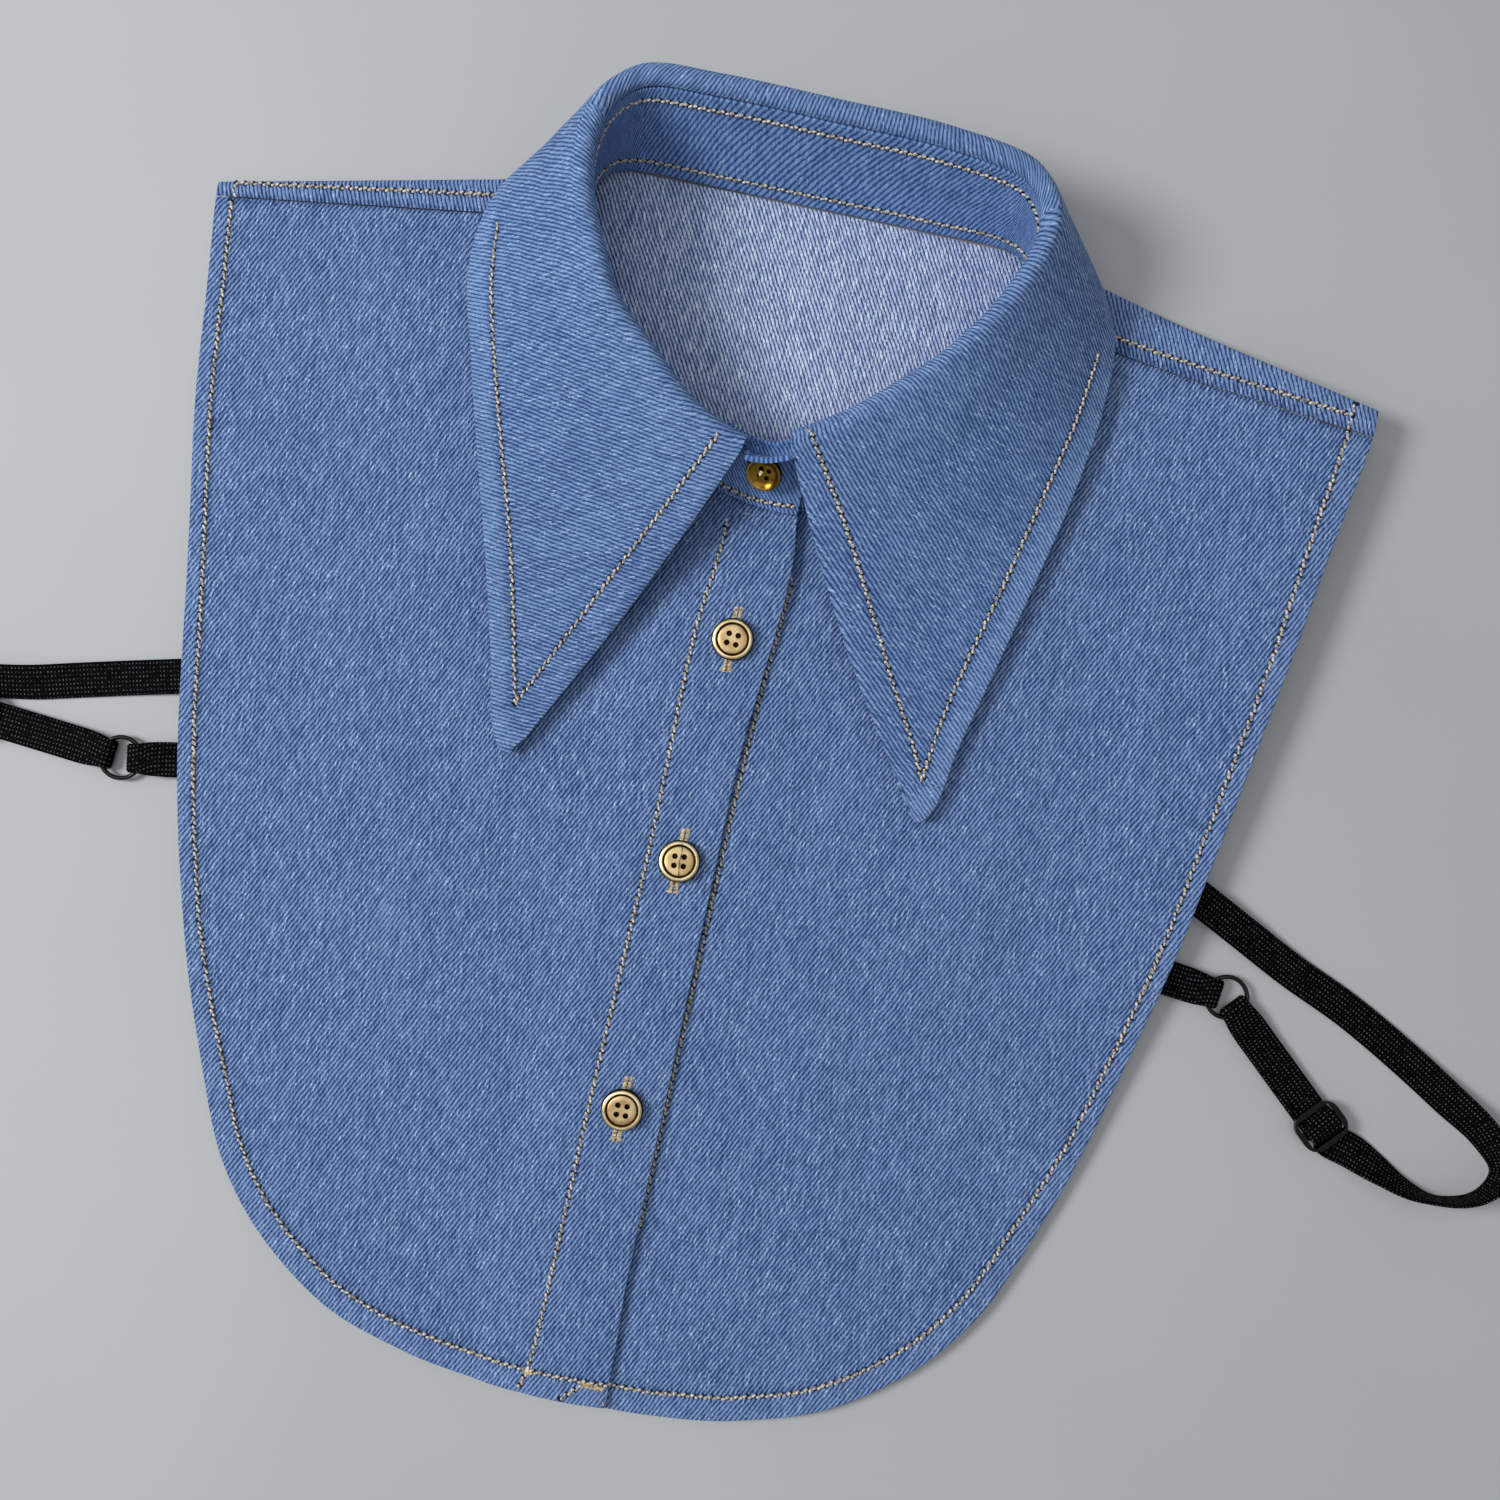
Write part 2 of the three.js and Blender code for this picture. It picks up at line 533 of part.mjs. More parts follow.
const BUTTON = { radius: 6, thick: 2.6, rim: 1.35, dish: 0.7, hole: 0.8, spacing: 1.35 };
const NECK_BUTTON = { radius: 5.1, thick: 2.6, rim: 1.0, dish: 1.2, hole: 0.7, spacing: 1.05 };

/** A dished button with a rim and four sewing holes, its back on Z = 0. */
function button({ radius, thick, rim, dish, hole, spacing }) {
  const profile = [
    [0, 0], [radius - 0.9, 0], [radius, 0.9], [radius, thick - 0.5], [radius - 0.5, thick],
    [radius - rim + 0.3, thick], [radius - rim - 0.3, thick - dish], [0, thick - dish],
  ].map(([r, z]) => new THREE.Vector2(r, z));
  const disc = new THREE.LatheGeometry(profile, 20).rotateX(Math.PI / 2);
  let solid = solidOf(disc);
  for (const [a, b] of [[1, 1], [-1, 1], [-1, -1], [1, -1]]) {
    const drill = new THREE.CylinderGeometry(hole, hole, 3 * thick, 8).rotateX(Math.PI / 2);
    drill.translate(a * spacing, b * spacing, 0);
    solid = solid.subtract(solidOf(drill));
  }
  return geometryOf(solid);
}

const PLACKET_BUTTONS = [
  { name: 'button_1', x: 1.7, y: 29.5 }, { name: 'button_2', x: 0, y: -34.8 }, { name: 'button_3', x: -1.2, y: -106.6 },
];
const BUTTON_GAP = 0.35;
const STAND_BUTTON = { row: 0.08, share: 0.7, gap: 0.65, upward: 0.1 };

/** Places a button on the stand's front, leaning with it and a little further back. */
function onStand(mesh) {
  const row = RING.length + STAND_BUTTON.row;
  const along = standPoint(row, 1).sub(standPoint(row, 0)).normalize();
  const outward = outwards(row);
  const square = outward.addScaledVector(along, -outward.dot(along)).normalize();
  mesh.position.copy(standPoint(row, STAND_BUTTON.share));
  mesh.position.addScaledVector(square, DOUBLED / 2 + STAND_BUTTON.gap);
  square.z += STAND_BUTTON.upward;
  mesh.quaternion.setFromUnitVectors(new THREE.Vector3(0, 0, 1), square.normalize());
  return mesh;
}

// ---- the whole collar ------------------------------------------------------------------------------------

function piece(name, geometry, color, roughness = 0.9, metalness = 0) {
  const mesh = new THREE.Mesh(geometry, new THREE.MeshStandardMaterial({ color, roughness, metalness }));
  mesh.name = name;
  return mesh;
}

const collar = new THREE.Group();
collar.add(piece('back_panel', backPanel(), COLOURS.denim));
collar.add(piece('front_over', frontPanel(-1), COLOURS.denim));
collar.add(piece('front_under', frontPanel(1), COLOURS.denim));
collar.add(piece('collar_stand', collarStand(), COLOURS.denim));
collar.add(piece('collar_fall', collarFall(), COLOURS.denim_fall));
for (const { name, x, y } of PLACKET_BUTTONS) {
  const mesh = piece(name, button(BUTTON), COLOURS.brass, 0.35, 1);
  mesh.position.set(x, y, frontHeight(x, y) + overlapStep(x) + PANEL / 2 + BUTTON_GAP);
  collar.add(mesh);
}
collar.add(onStand(piece('neck_button', button(NECK_BUTTON), COLOURS.dark_brass, 0.35, 1)));
for (const side of ['right', 'left']) {
  collar.add(piece(`elastic_${side}`, tape(elasticRoute(side), 2), COLOURS.elastic, 0.8));
  collar.add(piece(`tab_${side}`, tape(tabRoute(side), 2), COLOURS.elastic, 0.8));
  const hoop = piece(`ring_${side}`, ringHoop(), COLOURS.metal, 0.25, 0.6);
  hoop.position.set(...RINGS[side], RING_HEIGHT);
  const slider = piece(`slider_${side}`, sliderFrame(), COLOURS.metal, 0.25, 0.6);
  slider.position.set(...SLIDERS[side], SLIDER.height);
  const run = [0, 1].map((k) => SLIDERS[side][k] - RINGS[side][k]);
  slider.rotation.z = Math.atan2(run[1], run[0]) + Math.PI / 2;
  collar.add(hoop, slider);
}

export default collar;
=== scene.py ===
# A detachable denim shirt collar, buttoned and laid flat: its cloth, stitches, buttons and elastic straps.
import math
from itertools import accumulate
import bmesh
import bpy
from mathutils import Matrix, Vector, noise
from mathutils.bvhtree import BVHTree


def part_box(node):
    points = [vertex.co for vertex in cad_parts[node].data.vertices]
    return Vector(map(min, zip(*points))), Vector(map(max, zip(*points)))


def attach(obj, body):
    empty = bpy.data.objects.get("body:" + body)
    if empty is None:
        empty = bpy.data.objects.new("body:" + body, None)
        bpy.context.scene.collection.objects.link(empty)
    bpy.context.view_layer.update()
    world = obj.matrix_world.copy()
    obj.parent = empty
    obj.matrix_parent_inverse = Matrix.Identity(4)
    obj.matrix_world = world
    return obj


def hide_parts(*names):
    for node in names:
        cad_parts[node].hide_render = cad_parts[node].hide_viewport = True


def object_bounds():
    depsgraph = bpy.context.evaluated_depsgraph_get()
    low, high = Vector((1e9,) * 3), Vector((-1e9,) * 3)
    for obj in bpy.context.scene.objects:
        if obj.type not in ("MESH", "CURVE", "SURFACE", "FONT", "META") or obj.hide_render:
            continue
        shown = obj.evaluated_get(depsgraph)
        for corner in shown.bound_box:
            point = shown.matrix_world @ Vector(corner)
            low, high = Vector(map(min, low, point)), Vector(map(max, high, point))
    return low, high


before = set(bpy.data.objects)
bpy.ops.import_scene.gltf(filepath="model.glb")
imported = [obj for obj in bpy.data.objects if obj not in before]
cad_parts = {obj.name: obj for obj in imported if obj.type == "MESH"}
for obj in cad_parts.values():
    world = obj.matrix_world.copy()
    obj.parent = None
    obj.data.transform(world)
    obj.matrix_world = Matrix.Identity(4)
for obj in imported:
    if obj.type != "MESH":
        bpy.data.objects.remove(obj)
cad_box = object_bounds()
MM = 0.001                     # every size below is in millimetres

# ---- camera: straight above, turned a little ---------------------------------------------------------------
CAMERA_OVER = (13, 0, 430)
CAMERA_TURN = math.radians(12)
SEEN_ACROSS = 428.6            # what the view takes in on the table


def look_down():
    camera = bpy.data.cameras.new("overhead")
    camera.angle = 2 * math.atan(SEEN_ACROSS / 2 / CAMERA_OVER[2])
    holder = bpy.data.objects.new("overhead", camera)
    holder.location = Vector(CAMERA_OVER) * MM
    holder.rotation_euler = (0, 0, CAMERA_TURN)
    bpy.context.scene.collection.objects.link(holder)
    bpy.context.scene.camera = holder


look_down()

# ---- sizes -------------------------------------------------------------------------------------------------
PANEL = 1.2
DOUBLED = 1.6
LAYER_GAP = 0.5
BUTTED = 0.35
HALF_SHOULDER = 168
CURLED_IN = 5
WRAP_INNER = 66.8
WRAP_ROUND = 0.67
NECK_BACK_Y = 154.3
FRONT_REACH = 12
FRONT_START = 0.68
PLACKET_SHARE = 0.25
HEM = 6.7                      # turned hem: from the edge to its stitches
STITCH = 2.5                   # length of one stitch of the topstitching
SHOULDER = {
    "right": dict(seam_y=120.8, seam_row=5.05, fold_y=128.4, fold_rise=0.243),
    "left": dict(seam_y=122.3, seam_row=5.2, fold_y=126.4, fold_rise=0.22),
}
# Side and hem of the fronts: half width and Y
FRONT_OUTLINE = [
    (168, 121.6), (165.5, 100), (162, 68), (157, 34), (152, 0), (146.5, -34), (139, -67), (131, -95),
    (120.5, -122), (109.5, -145), (94, -163.6), (72, -179.3), (48, -187.3), (24, -190.6), (0, -191.2),
    (-FRONT_REACH, -190.6),
]
# Side and hem of the back panel: half width and Y
BACK_OUTLINE = [
    (34, -158), (62, -152.5), (84, -142), (101, -126), (114, -104), (124, -76), (132, -46), (139, -12),
    (144, 24), (148, 60), (153.5, 92), (161, 114), (HALF_SHOULDER, 127.5),
]
# Ring round the neck: foot of the stand and its top, each X, Y and Z
RING = [
    (0, 68.9, 7.5, 0, 81.5, 19.5), (18, 70.6, 6.1, 17.5, 90, 21.5), (35, 85, 5.7, 31, 102, 23.5),
    (49, 103, 5.5, 43.5, 115, 26), (58.5, 119, 5.4, 52, 127, 28.3), (63.5, 135, 5.4, 57.6, 139, 30.3),
    (63.2, 146.5, 5.2, 60, 149.5, 31.4), (59.5, 152.3, 3.9, 58.6, 156.5, 31.8),
    (53, 154.6, 2.9, 53.5, 162.3, 32), (30, 155, 2.5, 31, 166.3, 32), (0, 155, 2.5, 0, 167, 32),
    (-30, 155, 2.5, -31, 167.2, 32), (-53, 154.6, 2.9, -51, 165.6, 32),
    (-59.5, 152.3, 3.9, -58, 159, 31.8), (-63.2, 146.5, 5.2, -60.4, 149, 31.4),
    (-63.5, 135, 5.4, -59, 136.5, 30.3), (-59.5, 119, 5.4, -54, 123.5, 28.3),
    (-50, 103, 5.5, -46.5, 110, 26), (-36, 88, 5.9, -34, 98.5, 23.5), (-18, 74.6, 7.2, -18.5, 87, 21.5),
]
STAND_END = 0.66
STAND_BOW = 0.8
END_SHIFT = 1.1
# Outer edge of the fall: ring row, X, Y, Z and how quickly the cloth drops to it
FALL_EDGE = [
    (0.36, 59.8, -6.6, 6.4, 2.1), (0.42, 63.2, -10.2, 6.3, 2.1), (0.52, 66.9, -5.6, 6.4, 2.1),
    (1, 70, 12, 6.6, 2.1), (2, 75.6, 36, 6.7, 2), (3, 81.2, 61, 6.9, 1.8), (4, 86.3, 86, 7.2, 1.5),
    (5, 89.6, 112, 7.6, 1.25), (6, 88.8, 133, 7.6, 1.1), (7, 82, 149, 4.6, 1), (8, 68, 165, 2.2, 0.9),
    (9, 36, 181, 1.4, 0.8), (10, 0, 183.5, 1.3, 0.8), (11, -36, 182.5, 1.4, 0.8), (12, -64, 171, 2.2, 0.9),
    (13, -79, 154, 4, 1), (14, -89.5, 136, 7.4, 1.1), (15, -92, 116, 7.6, 1.25), (16, -86.5, 92, 7.2, 1.5),
    (17, -79, 65, 6.9, 1.8), (18, -71, 38, 6.8, 2), (19, -63.5, 10, 6.7, 2.1), (19.52, -58.8, -9.5, 6.5, 2.1),
    (19.68, -54.4, -15, 6.4, 2.1), (19.76, -49.4, -9.6, 6.5, 2.1),
]
# Section of the roll above the stand's top: along the stand, and square to it
ROLL = [(0.95, 0), (2.4, 0.15), (3.7, 1.6), (3.6, 3.5), (1.9, 4.9)]
ROLL_SHARE = 0.4
LEAF_BOW = dict(right=2.4, left=0.8, share=0.2)

ELASTIC_WIDTH = 10
ELASTIC = 1.0
WIRE_RADIUS = 0.65
RING_RADIUS = 5.85
RING_HEIGHT = 1.98
# Loops of elastic: X, Y, Z and turn on edge in degrees
LOOPS = {
    "right": [
        (136.5, -10, 4.6, 0), (148, -15.5, 4.1, 0), (160, -21.3, 2.7, 0), (177, -29.5, 1.0, 0),
        (195, -37.2, 0.55, 0), (212, -46.2, 0.6, 3), (228, -55.8, 1.5, 14), (240.5, -64.2, 3.2, 40),
        (246, -73, 4.8, 72), (241, -80.6, 5.15, 88), (231, -84, 5.15, 88), (220.5, -82.7, 4.5, 62),
        (211, -79, 3.0, 34), (203.5, -76, 1.9, 10),
    ],
    "left": [
        (-140.6, -10.8, 1.9, 0), (-151, -13.4, 1.3, 0), (-164, -16.6, 0.7, 0), (-178, -20.2, 0.7, -3),
        (-192, -23.8, 1.4, -12), (-206, -25.9, 2.4, -22), (-222, -26.4, 2.8, -28), (-237, -28.2, 3.6, -45),
        (-246.5, -34, 4.8, -74), (-246, -42, 5.15, -88), (-237, -46.5, 5.15, -88), (-227, -44, 3.6, -46),
        (-219.5, -40, 2.2, -20),
    ],
}
RINGS = {"right": (160.2, -40.6), "left": (-161.6, -39.3)}
SLIDERS = {"right": (193.4, -70.6), "left": (-204.5, -35.6)}
TAB_STARTS = {"right": (137.8, -38.2), "left": (-138.2, -35.4)}
# The elastic's way over the slider and round its middle bar: distance and height
OVER_SLIDER = [
    (5.6, 1.75), (4.3, 1.95), (3.5, 3.0), (2.8, 4.7), (1.6, 6.05), (0, 6.4), (-1.6, 6.05), (-2.7, 4.7),
    (-3.5, 2.95), (-4.4, 2.05), (-5.8, 1.95), (-9, 1.95), (-16, 1.95),
]
ROUND_MIDDLE_BAR = [
    (-16, 0.52), (-9, 0.52), (-5.5, 0.52), (-3.4, 0.72), (-1.6, 1.45), (-0.1, 1.8), (1.2, 2.2), (1.72, 3.4),
    (1.25, 4.55), (0.2, 5.0), (-1.0, 4.98),
]
# ... and through the ring: distance, height and width of the tape
ROUND_RING = [
    (14, 2.2, 10), (9, 3.0, 9.6), (5.8, 3.5, 8.6), (3.9, 3.5, 8.3), (2.75, 3.1, 8.2), (2.2, 1.98, 8.2),
    (2.75, 0.88, 8.2), (3.9, 0.52, 8.3), (5.8, 0.52, 8.6), (9, 0.52, 9.6), (14, 0.52, 10),
]


# ---- curves ------------------------------------------------------------------------------------------------
def soft(x):
    t = min(max(x, 0.0), 1.0)
    return t * t * (3 - 2 * t)


def mix(a, b, t):
    return a + (b - a) * t


CURVE_STEPS = 200


class Curve:
    """A smooth centripetal curve through the rows of a table."""

    def __init__(self, rows, closed=False):
        self.rows = [Vector(r) if len(r) > 1 else Vector((r[0], 0)) for r in rows]
        self.closed = closed
        self.count = len(self.rows) - (0 if closed else 1)
        self.lengths = None
        self.known = {}

    def row(self, k):
        rows = self.rows
        if self.closed:
            return rows[k % len(rows)]
        if k < 0:
            return 2 * rows[0] - rows[1]
        if k >= len(rows):
            return 2 * rows[-1] - rows[-2]
        return rows[k]

    def at(self, share):
        if share not in self.known:
            self.known[share] = self.worked_out(share)
        return self.known[share].copy()

    def worked_out(self, share):
        place = self.count * share
        k = math.floor(place)
        if not self.closed:
            k = min(max(k, 0), self.count - 1)
        t = place - k
        p = [self.row(k + n) for n in (-1, 0, 1, 2)]
        d = [max((p[n + 1] - p[n]).length ** 0.5, 1e-4) for n in range(3)]
        out = []
        for a, b, c, e in zip(*p):
            t1 = ((b - a) / d[0] - (c - a) / (d[0] + d[1]) + (c - b) / d[1]) * d[1]
            t2 = ((c - b) / d[1] - (e - b) / (d[1] + d[2]) + (e - c) / d[2]) * d[1]
            out.append(b + t1 * t + (3 * (c - b) - 2 * t1 - t2) * t * t + (2 * (b - c) + t1 + t2) * t ** 3)
        return Vector(out)

    def length(self):
        if self.lengths is None:
            points = [self.at(k / CURVE_STEPS) for k in range(CURVE_STEPS + 1)]
            self.lengths = list(accumulate(((b - a).length for a, b in zip(points, points[1:])), initial=0.0))
        return self.lengths[-1]

    def along(self, share):
        """The point at a share of the whole length."""
        goal = share * self.length()
        low, high = 0, CURVE_STEPS
        while high - low > 1:
            middle = (low + high) // 2
            if self.lengths[middle] <= goal:
                low = middle
            else:
                high = middle
        span = self.lengths[low + 1] - self.lengths[low]
        return self.at((low + (goal - self.lengths[low]) / span) / CURVE_STEPS)


ring_foot = Curve([r[:3] for r in RING], closed=True)
ring_top = Curve([r[3:] for r in RING], closed=True)
front_outline = Curve(FRONT_OUTLINE)
back_outline = Curve(BACK_OUTLINE)
fall_edge = Curve([r[1:4] for r in FALL_EDGE])
fall_hang = Curve([(r[0], r[4]) for r in FALL_EDGE])
roll = Curve(ROLL)
ROWS = len(RING)


# ---- heights of the layers ---------------------------------------------------------------------------------
def lift(x, y):
    right = 9 * soft((x - 95) / 75) * soft((y + 150) / 200)
    left = 1.6 * soft((-x - 105) / 40) * soft((y + 110) / 60) * soft((95 - y) / 80)
    return right + left


def curled_in(x, y):
    depth = CURLED_IN - 1.4 * soft((y - 70) / 50)
    left = 1.3 * soft((-x - 90) / 50) * soft((y + 170) / 60) * soft((70 - y) / 60)
    return x - depth * soft((x - 80) / 80) * soft((y + 190) / 130) + left


def front_height(x, y):
    swell = 1.3 * math.exp(-(((abs(x) - 98) / 38) ** 2) - ((y - 10) / 75) ** 2)
    from_ring = max(0.0, math.hypot(x / 64, (y - 112) / 43) - 1)
    neck = 1.5 * math.exp(-2.5 * from_ring)
    return lift(x, y) + PANEL + LAYER_GAP + PANEL / 2 + swell + neck


def overlap_step(x):
    return (PANEL + LAYER_GAP) * soft((x + 32) / 15)


def placket_bow(y):
    return 3.5 * soft((y + 10) / 60) + 1.2 * soft((-150 - y) / 35) - 1.8


def outwards(row):
    share = (row / ROWS) % 1
    tangent = ring_foot.at(share + 1e-4) - ring_foot.at(share - 1e-4)
    return Vector((tangent.y, -tangent.x, 0)).normalized()


def end_shift(row):
    return END_SHIFT * (soft((row - ROWS + 2.4) / 1.6) - soft((2.4 - row) / 1.6))


def stand_point(row, share):
    """Middle of the stand's wall at a ring row and a share of its height."""
    foot = ring_foot.at((row / ROWS) % 1)
    top = ring_top.at((row / ROWS) % 1)
    bow = STAND_BOW * soft((min(row, ROWS - row) - 0.6) / 1.5)
    return foot.lerp(top, share) + outwards(row) * (end_shift(row) + bow * math.sin(math.pi * share))


def stand_square(row):
    """Direction square to the stand, outwards, and the direction up along it."""
    along = (stand_point(row, 1) - stand_point(row, 0)).normalized()
    outward = outwards(row)
    return (outward - along * outward.dot(along)).normalized(), along


def leaf_bow(u):
    return (LEAF_BOW["right"] * (1 - soft(u / LEAF_BOW["share"]))
            - LEAF_BOW["left"] * (1 - soft((1 - u) / LEAF_BOW["share"])))


# ---- meshes ------------------------------------------------------------------------------------------------
def finish_piece(bm, name, materials, smooth=True):
    """Scales a mesh drawn in millimetres to metres and makes it a piece of the collar."""
    bmesh.ops.scale(bm, vec=(MM, MM, MM), verts=bm.verts)
    mesh = bpy.data.meshes.new(name)
    bm.to_mesh(mesh)
    bm.free()
    for material in materials:
        mesh.materials.append(material)
    if smooth:
        mesh.shade_smooth()
    piece = bpy.data.objects.new(name, mesh)
    bpy.context.scene.collection.objects.link(piece)
    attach(piece, "root")
    return piece


def cloth_grid(columns, rows, place, keep=None, turn=None):
    """A grid of cloth: place(i, j) gives a corner's place, where it lies on the flat cloth and its tone
    value: wear, painted shade and painted highlight.
    """
    bm = bmesh.new()
    bmesh.ops.create_grid(bm, x_segments=columns, y_segments=rows, size=1)
    flat = {}
    cell = {}
    worn = bm.verts.layers.float.new("worn")
    for vert in bm.verts:
        i = round((vert.co.x + 1) / 2 * columns)
        j = round((vert.co.y + 1) / 2 * rows)
        cell[vert] = (i, j)
        vert.co, flat[vert], vert[worn] = place(i, j)
    uv = bm.loops.layers.uv.new("cloth")
    unwanted = []
    for face in bm.faces:
        i = min(cell[v][0] for v in face.verts)
        j = min(cell[v][1] for v in face.verts)
        if keep and not keep(i, j):
            unwanted.append(face)
            continue
        angle = turn(i, j) if turn else 0
        c, s = math.cos(angle), math.sin(angle)
        for loop in face.loops:
            x, y = flat[loop.vert]
            loop[uv].uv = (c * x + s * y, c * y - s * x)
    if unwanted:
        bmesh.ops.delete(bm, geom=unwanted, context="FACES")
    return bm


def thicken(piece, thickness, edge):
    """Gives a sheet its thickness and rounds the edges of the wall; a second material goes on its back."""
    wall = piece.modifiers.new("thickness", "SOLIDIFY")
    wall.thickness = thickness * MM
    wall.offset = 0
    wall.material_offset = len(piece.data.materials) - 1
    rounded = piece.modifiers.new("rounded edge", "BEVEL")
    rounded.limit_method = "ANGLE"
    rounded.angle_limit = math.radians(55)
    rounded.width = edge * MM
    rounded.segments = 2
    rounded.use_clamp_overlap = True
    return piece


def wander(x, y, seed):
    """Slow uneven change over the cloth, from -1 to 1."""
    return noise.noise(Vector((x, y, seed)))


# Soft creases of the fronts: middle, direction in degrees, length, width and height
CREASES = [
    (-96, 72, 78, 80, 16, 0.5), (-118, 10, 96, 110, 14, -0.45), (-72, -60, 70, 90, 18, 0.5),
    (-104, -96, 120, 60, 12, -0.4), (-40, -120, 84, 100, 15, 0.4), (54, -96, 110, 90, 17, 0.5),
    (96, -40, 66, 120, 15, -0.5), (118, 46, 100, 80, 13, 0.6), (34, -20, 95, 70, 12, -0.35),
    (88, 88, 50, 50, 10, -0.5), (-88, 112, 8, 60, 9, 0.45), (20, -160, 12, 70, 11, 0.35),
]


def creased(x, y):
    height = 0.0
    for cx, cy, degrees, length, width, rise in CREASES:
        c, s = math.cos(math.radians(degrees)), math.sin(math.radians(degrees))
        a = ((x - cx) * c + (y - cy) * s) / (length / 2)
        b = ((y - cy) * c - (x - cx) * s) / (width / 2)
        if abs(a) < 2.2 and abs(b) < 2.2:
            height += rise * math.exp(-a * a - b * b)
    return height


def cloth_relief(x, y, seed):
    """Uneven lie of the cloth: slow swells and the listed creases."""
    return (0.55 * wander(x / 46, y / 62, seed) + 0.22 * wander(x / 19, y / 27, seed + 5)
            + 0.05 * wander(x / 5, y / 7, seed + 9) + creased(x, y))


def hem_width(sign, s):
    """From the edge to the hem's stitches: narrower up the sides, wide again at the right shoulder's tip."""
    return HEM - 2.1 * soft((s - 0.32) / 0.2) * (1 if sign < 0 else soft((1.02 - s) / 0.25))


HEM_BAND = 0.4                 # how much a turned hem stands above the single cloth
HEM_GROOVE = dict(depth=0.34, width=0.75)
HEM_PUCKER = dict(height=0.17, reach=4.2)


def hem_relief(inset, width, along, seed):
    """A turned hem: the doubled band, its stitch groove and the puckers beside it."""
    beside = inset - width
    band = HEM_BAND * soft((1.6 - beside) / 1.4)
    groove = HEM_GROOVE["depth"] * math.exp(-((beside / HEM_GROOVE["width"]) ** 2))
    fading = math.exp(-((beside / HEM_PUCKER["reach"]) ** 2))
    pucker = HEM_PUCKER["height"] * fading * wander(along / HEM_PUCKER["reach"], inset / 9, seed)
    return band - groove + pucker


def edge_wear_and_shade(inset, width):
    """Paler on the doubled edge of a seam, where it is worn, and darker in its row of stitches: painted
    shade.
    """
    return 0.3 * soft((width + 0.3 - inset) / 1.5) - 0.9 * math.exp(-(((inset - width - 0.2) / 1.1) ** 2))


def front_place(sign, s, t):
    """X and Y of a front: ruled from the neckline to the side and hem."""
    shoulder = SHOULDER["left" if sign < 0 else "right"]
    row = sign * mix(-FRONT_START, shoulder["seam_row"], s)
    neck = ring_foot.at((row / ROWS) % 1)
    hem = front_outline.along(1 - s)
    first_y = FRONT_OUTLINE[0][1]
    hem.y += (shoulder["seam_y"] - first_y) * soft(hem.y / first_y)
    y = mix(neck.y, hem.y, t)
    bow = placket_bow(y) * (1 - soft(s / PLACKET_SHARE)) * soft(t / 0.06) if sign < 0 else 0
    return Vector((curled_in(mix(neck.x, sign * hem.x, t), y) + bow, y))


# Stitch lines down the placket and down the facing under it: X and Y
PLACKET_STITCH = [
    (-6.6, 62), (-7.0, 51), (-9.0, 31), (-9.0, -30), (-10.6, -110), (-11.5, -176), (-12.2, -184),
]
FACING_STITCH = [
    (14.6, 50), (13.8, 34), (12.8, 18), (11.7, -20), (11.3, -60), (10.8, -100), (10.4, -140),
]


def x_on(line, y):
    """X of a nearly upright line of stitches at a height Y."""
    for (x0, y0), (x1, y1) in zip(line, line[1:]):
        if y >= y1:
            return mix(x0, x1, (y - y0) / (y1 - y0))
    return line[-1][0]


def front_surface(x, y, over):
    """Height of a front's middle with its placket, without its hem."""
    z = front_height(x, y) + cloth_relief(x, y, 3 if over else 31) * 0.8
    line = PLACKET_STITCH if over else FACING_STITCH
    if over:
        z += overlap_step(x) + 0.25 * soft((x - x_on(line, y) + 1) / 2)
    else:
        z -= 1.3 * soft((y - 26) / 24) * math.exp(-(((x - 17) / 7) ** 2))
    beside = x - x_on(line, y)
    z -= 0.3 * math.exp(-((beside / 0.8) ** 2))
    return z + 0.14 * math.exp(-((beside / 4.5) ** 2)) * wander(y / 3.6, beside / 9, 12)


def shape_front(name, sign, materials):
    over = sign < 0
    columns, inner, band = 290, 64, 17     # of the grid; the band's rows are the fine ones at the hem
    reach = HEM + 3.2          # width of that band
    widths = []                # from the neckline to the edge, square to the edge
    for i in range(columns + 1):
        s = i / columns
        neck, edge = front_place(sign, s, 0), front_place(sign, s, 1)
        beside = front_place(sign, min(s + 0.004, 1), 1) - front_place(sign, max(s - 0.004, 0), 1)
        widths.append(abs((edge - neck).cross(beside)) / beside.length)
    along = front_outline.length()

    def place(i, j):
        s = i / columns
        across = widths[i]
        start = 1 - reach / across
        t = start * j / inner if j <= inner else mix(start, 1, (j - inner) / band)
        x, y = front_place(sign, s, t)
        inset = (1 - t) * across
        ragged = 0.35 * wander(s * along / 26, 0, 7) * math.exp(-inset / 12)
        z = front_surface(x, y, over) + hem_relief(inset, hem_width(sign, s), s * along, sign * 17)
        y += ragged if y < -60 else 0
        seam = soft((s - 0.9955) / 0.002)
        z -= 0.35 * seam
        # the last value: wear on the hem's doubled edge, painted shade along its stitches, and painted shade
        # darkening the shoulder seam
        return Vector((x, y, z)), (x, y), edge_wear_and_shade(inset, hem_width(sign, s)) - 0.9 * seam

    bm = cloth_grid(columns, inner + band, place)
    if not over:
        bmesh.ops.reverse_faces(bm, faces=bm.faces)
    return thicken(finish_piece(bm, name, materials), PANEL - 0.3, 0.42)


def shoulder_of(sign):
    return SHOULDER["right" if sign > 0 else "left"]


def fold_line(reach, sign):
    return shoulder_of(sign)["fold_y"] + shoulder_of(sign)["fold_rise"] * (HALF_SHOULDER - reach)


def seam_line(reach, sign):
    shoulder = shoulder_of(sign)
    neck = ring_foot.at((sign * shoulder["seam_row"] / ROWS) % 1)
    share = (reach - HALF_SHOULDER) / (abs(neck.x) - HALF_SHOULDER)
    return mix(shoulder["seam_y"], neck.y, share)


